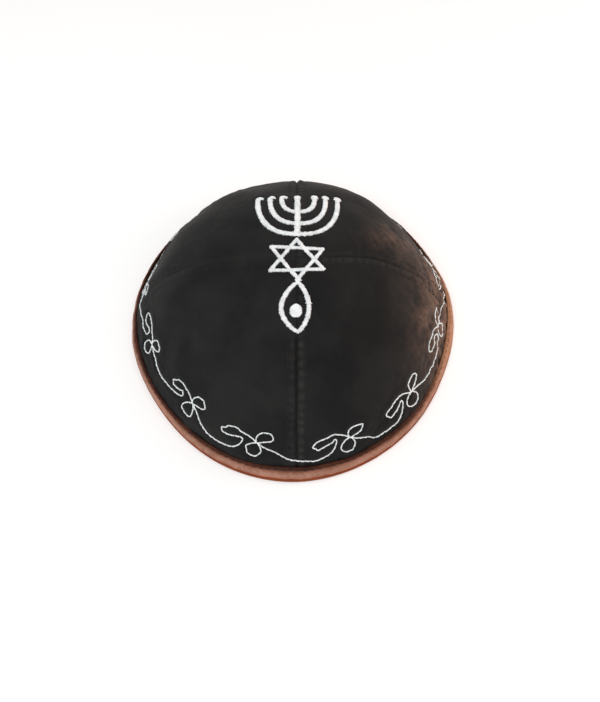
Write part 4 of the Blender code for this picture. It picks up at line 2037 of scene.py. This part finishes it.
@dataclass(frozen=True)
class Stage:
    """Plain floor, soft lights and the camera at the photograph's angle.

    The photograph's size and the place in it that the camera aims at are in pixels. The floor lies a little
    under the cap, so that the two never share a level.
    """

    floor_half: float = 3.0
    floor_drop: float = 0.05 * MM
    elevation: float = math.radians(58)
    distance: float = 0.2584
    aim_share: float = 0.4
    focal_pixels: float = 523.3
    aim_x: float = 292.5
    aim_y: float = 290.35
    picture: tuple[int, int] = (600, 702)
    sensor: float = 36.0
    clip: tuple[float, float] = (0.01, 50.0)
    room_colour: tuple[float, ...] = (1.0, 1.0, 1.0, 1.0)
    room_strength: float = 0.72
    lamps: tuple[Lamp, ...] = (
        Lamp("key", place=(-0.35, -0.5, 1.2), size=0.9, power=9.0, colour=(1.0, 1.0, 1.0)),
        Lamp("warm_side", place=(0.62, 0.12, 0.14), size=0.3, power=1.6, colour=(1.0, 0.66, 0.5)),
    )
    lamp_aim: Point = (0.0, 0.0, 0.02)

    def floor(self, material: bpy.types.Material) -> None:
        """Lays the floor.

        Args:
            material: The floor's material.
        """
        mesh = bpy.data.meshes.new("floor")
        half, level = self.floor_half, -self.floor_drop
        corners = [(x * half, y * half, level) for x, y in ((-1, -1), (1, -1), (1, 1), (-1, 1))]
        mesh.from_pydata(corners, [], [(0, 1, 2, 3)])
        mesh.materials.append(material)
        floor = bpy.data.objects.new("floor", mesh)
        bpy.context.scene.collection.objects.link(floor)

    def hang(self, lamp: Lamp) -> None:
        """Hangs a lamp that points at the cap.

        Args:
            lamp: The lamp.
        """
        data = bpy.data.lights.new(lamp.name, "AREA")
        data.shape, data.size, data.energy, data.color = "SQUARE", lamp.size, lamp.power, lamp.colour
        light = bpy.data.objects.new(lamp.name, data)
        light.location = lamp.place
        light.rotation_mode = "QUATERNION"
        light.rotation_quaternion = (Vector(self.lamp_aim) - Vector(lamp.place)).to_track_quat("-Z", "Y")
        bpy.context.scene.collection.objects.link(light)

    def camera(self, height: float) -> None:
        """Sets the camera.

        Args:
            height: Height of the cap.
        """
        data = bpy.data.cameras.new("camera")
        tall = max(self.picture)
        data.sensor_width = self.sensor
        data.lens = self.focal_pixels * self.sensor / tall
        data.shift_x = (self.picture[0] / 2 - self.aim_x) / tall
        data.shift_y = -(self.picture[1] / 2 - self.aim_y) / tall
        data.clip_start, data.clip_end = self.clip
        camera = bpy.data.objects.new("camera", data)
        aim = Vector((0, 0, self.aim_share * height))
        back = Vector((0, -math.cos(self.elevation), math.sin(self.elevation)))
        camera.location = aim + back * self.distance
        camera.rotation_mode = "QUATERNION"
        camera.rotation_quaternion = (-back).to_track_quat("-Z", "Y")
        bpy.context.scene.collection.objects.link(camera)
        bpy.context.scene.camera = camera

    def light(self) -> None:
        """Lights the scene: a soft white room, a key light and a warm light from the right."""
        scene = bpy.context.scene
        scene.world = bpy.data.worlds.new("room")
        scene.world.use_nodes = True
        background = scene.world.node_tree.nodes["Background"]
        background.inputs["Color"].default_value = self.room_colour
        background.inputs["Strength"].default_value = self.room_strength
        for lamp in self.lamps:
            self.hang(lamp)
        scene.view_settings.view_transform = "Standard"
        scene.view_settings.look = "None"


def soft_shape(form: DomeForm, emblem: Emblem, vine: VineScroll) -> SoftShape:
    """Works out the cap's real shape, in which the embroidery presses on the suede.

    Args:
        form: The smooth skin.
        emblem: The figures over the crown.
        vine: The scroll round the side.

    Returns:
        The shape.
    """
    figures = np.concatenate([figure.marks(form) for figure in emblem.figures])
    pulls = (
        StitchPull(
            vine.marks(), reach=0.0, depth=0.38 * MM, width=0.95 * MM, puff=0.2 * MM, puff_place=2.6 * MM
        ),
        StitchPull(
            figures, reach=0.9 * MM, depth=0.28 * MM, width=0.8 * MM, puff=0.12 * MM, puff_place=2.4 * MM
        ),
    )
    return SoftShape(form, pulls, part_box("emblem_fish")[0].y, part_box("emblem_menorah")[1].y)


def main() -> None:
    """Builds the cap's pieces in order and reports each."""
    logging.basicConfig(level=logging.INFO, format="%(message)s")
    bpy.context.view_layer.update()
    effects = Effects()
    stage = Stage()
    form = DomeForm.from_frame()
    LOG.info("skin %.4f by %.4f by %.4f", form.half_width, form.half_length, form.height)
    stage.floor(FloorFinish().make(effects))
    stage.light()

    emblem = Emblem(form)
    vine = VineScroll(form)
    shape = soft_shape(form, emblem, vine)
    suedes = {gore: SuedeFinish(gore.node + "_suede", gore.start, gore.shade) for gore in Gore}
    pieces = SuedeGores(shape).build({gore: suede.make(effects) for gore, suede in suedes.items()})
    black = ThreadFinish("black_thread", linear(14, 14, 14), linear(9, 9, 9), roughness=0.8, sheen=0.0)
    pieces.append(SeamStitching(shape).build(black.make(effects)))
    binding = EdgeBinding(shape)
    pieces.append(binding.build(BindingFinish().make(effects)))
    brown = ThreadFinish("brown_thread", linear(66, 36, 24), linear(40, 22, 14), roughness=0.6, sheen=0.0)
    pieces.append(binding.build_stitches(brown.make(effects)))
    satin = ThreadFinish("satin_thread", (0.9, 0.91, 0.91), (0.55, 0.58, 0.6)).make(effects)
    pieces.extend(figure.build(shape, satin) for figure in emblem.figures)
    silver = ThreadFinish("silver_thread", (0.9, 0.93, 0.93), (0.55, 0.6, 0.6), metal=0.35)
    pieces.append(vine.build(shape, silver.make(effects)))
    LOG.info("%d pieces in all", len(pieces))

    stage.camera(form.height)


if __name__ == "__main__":
    main()
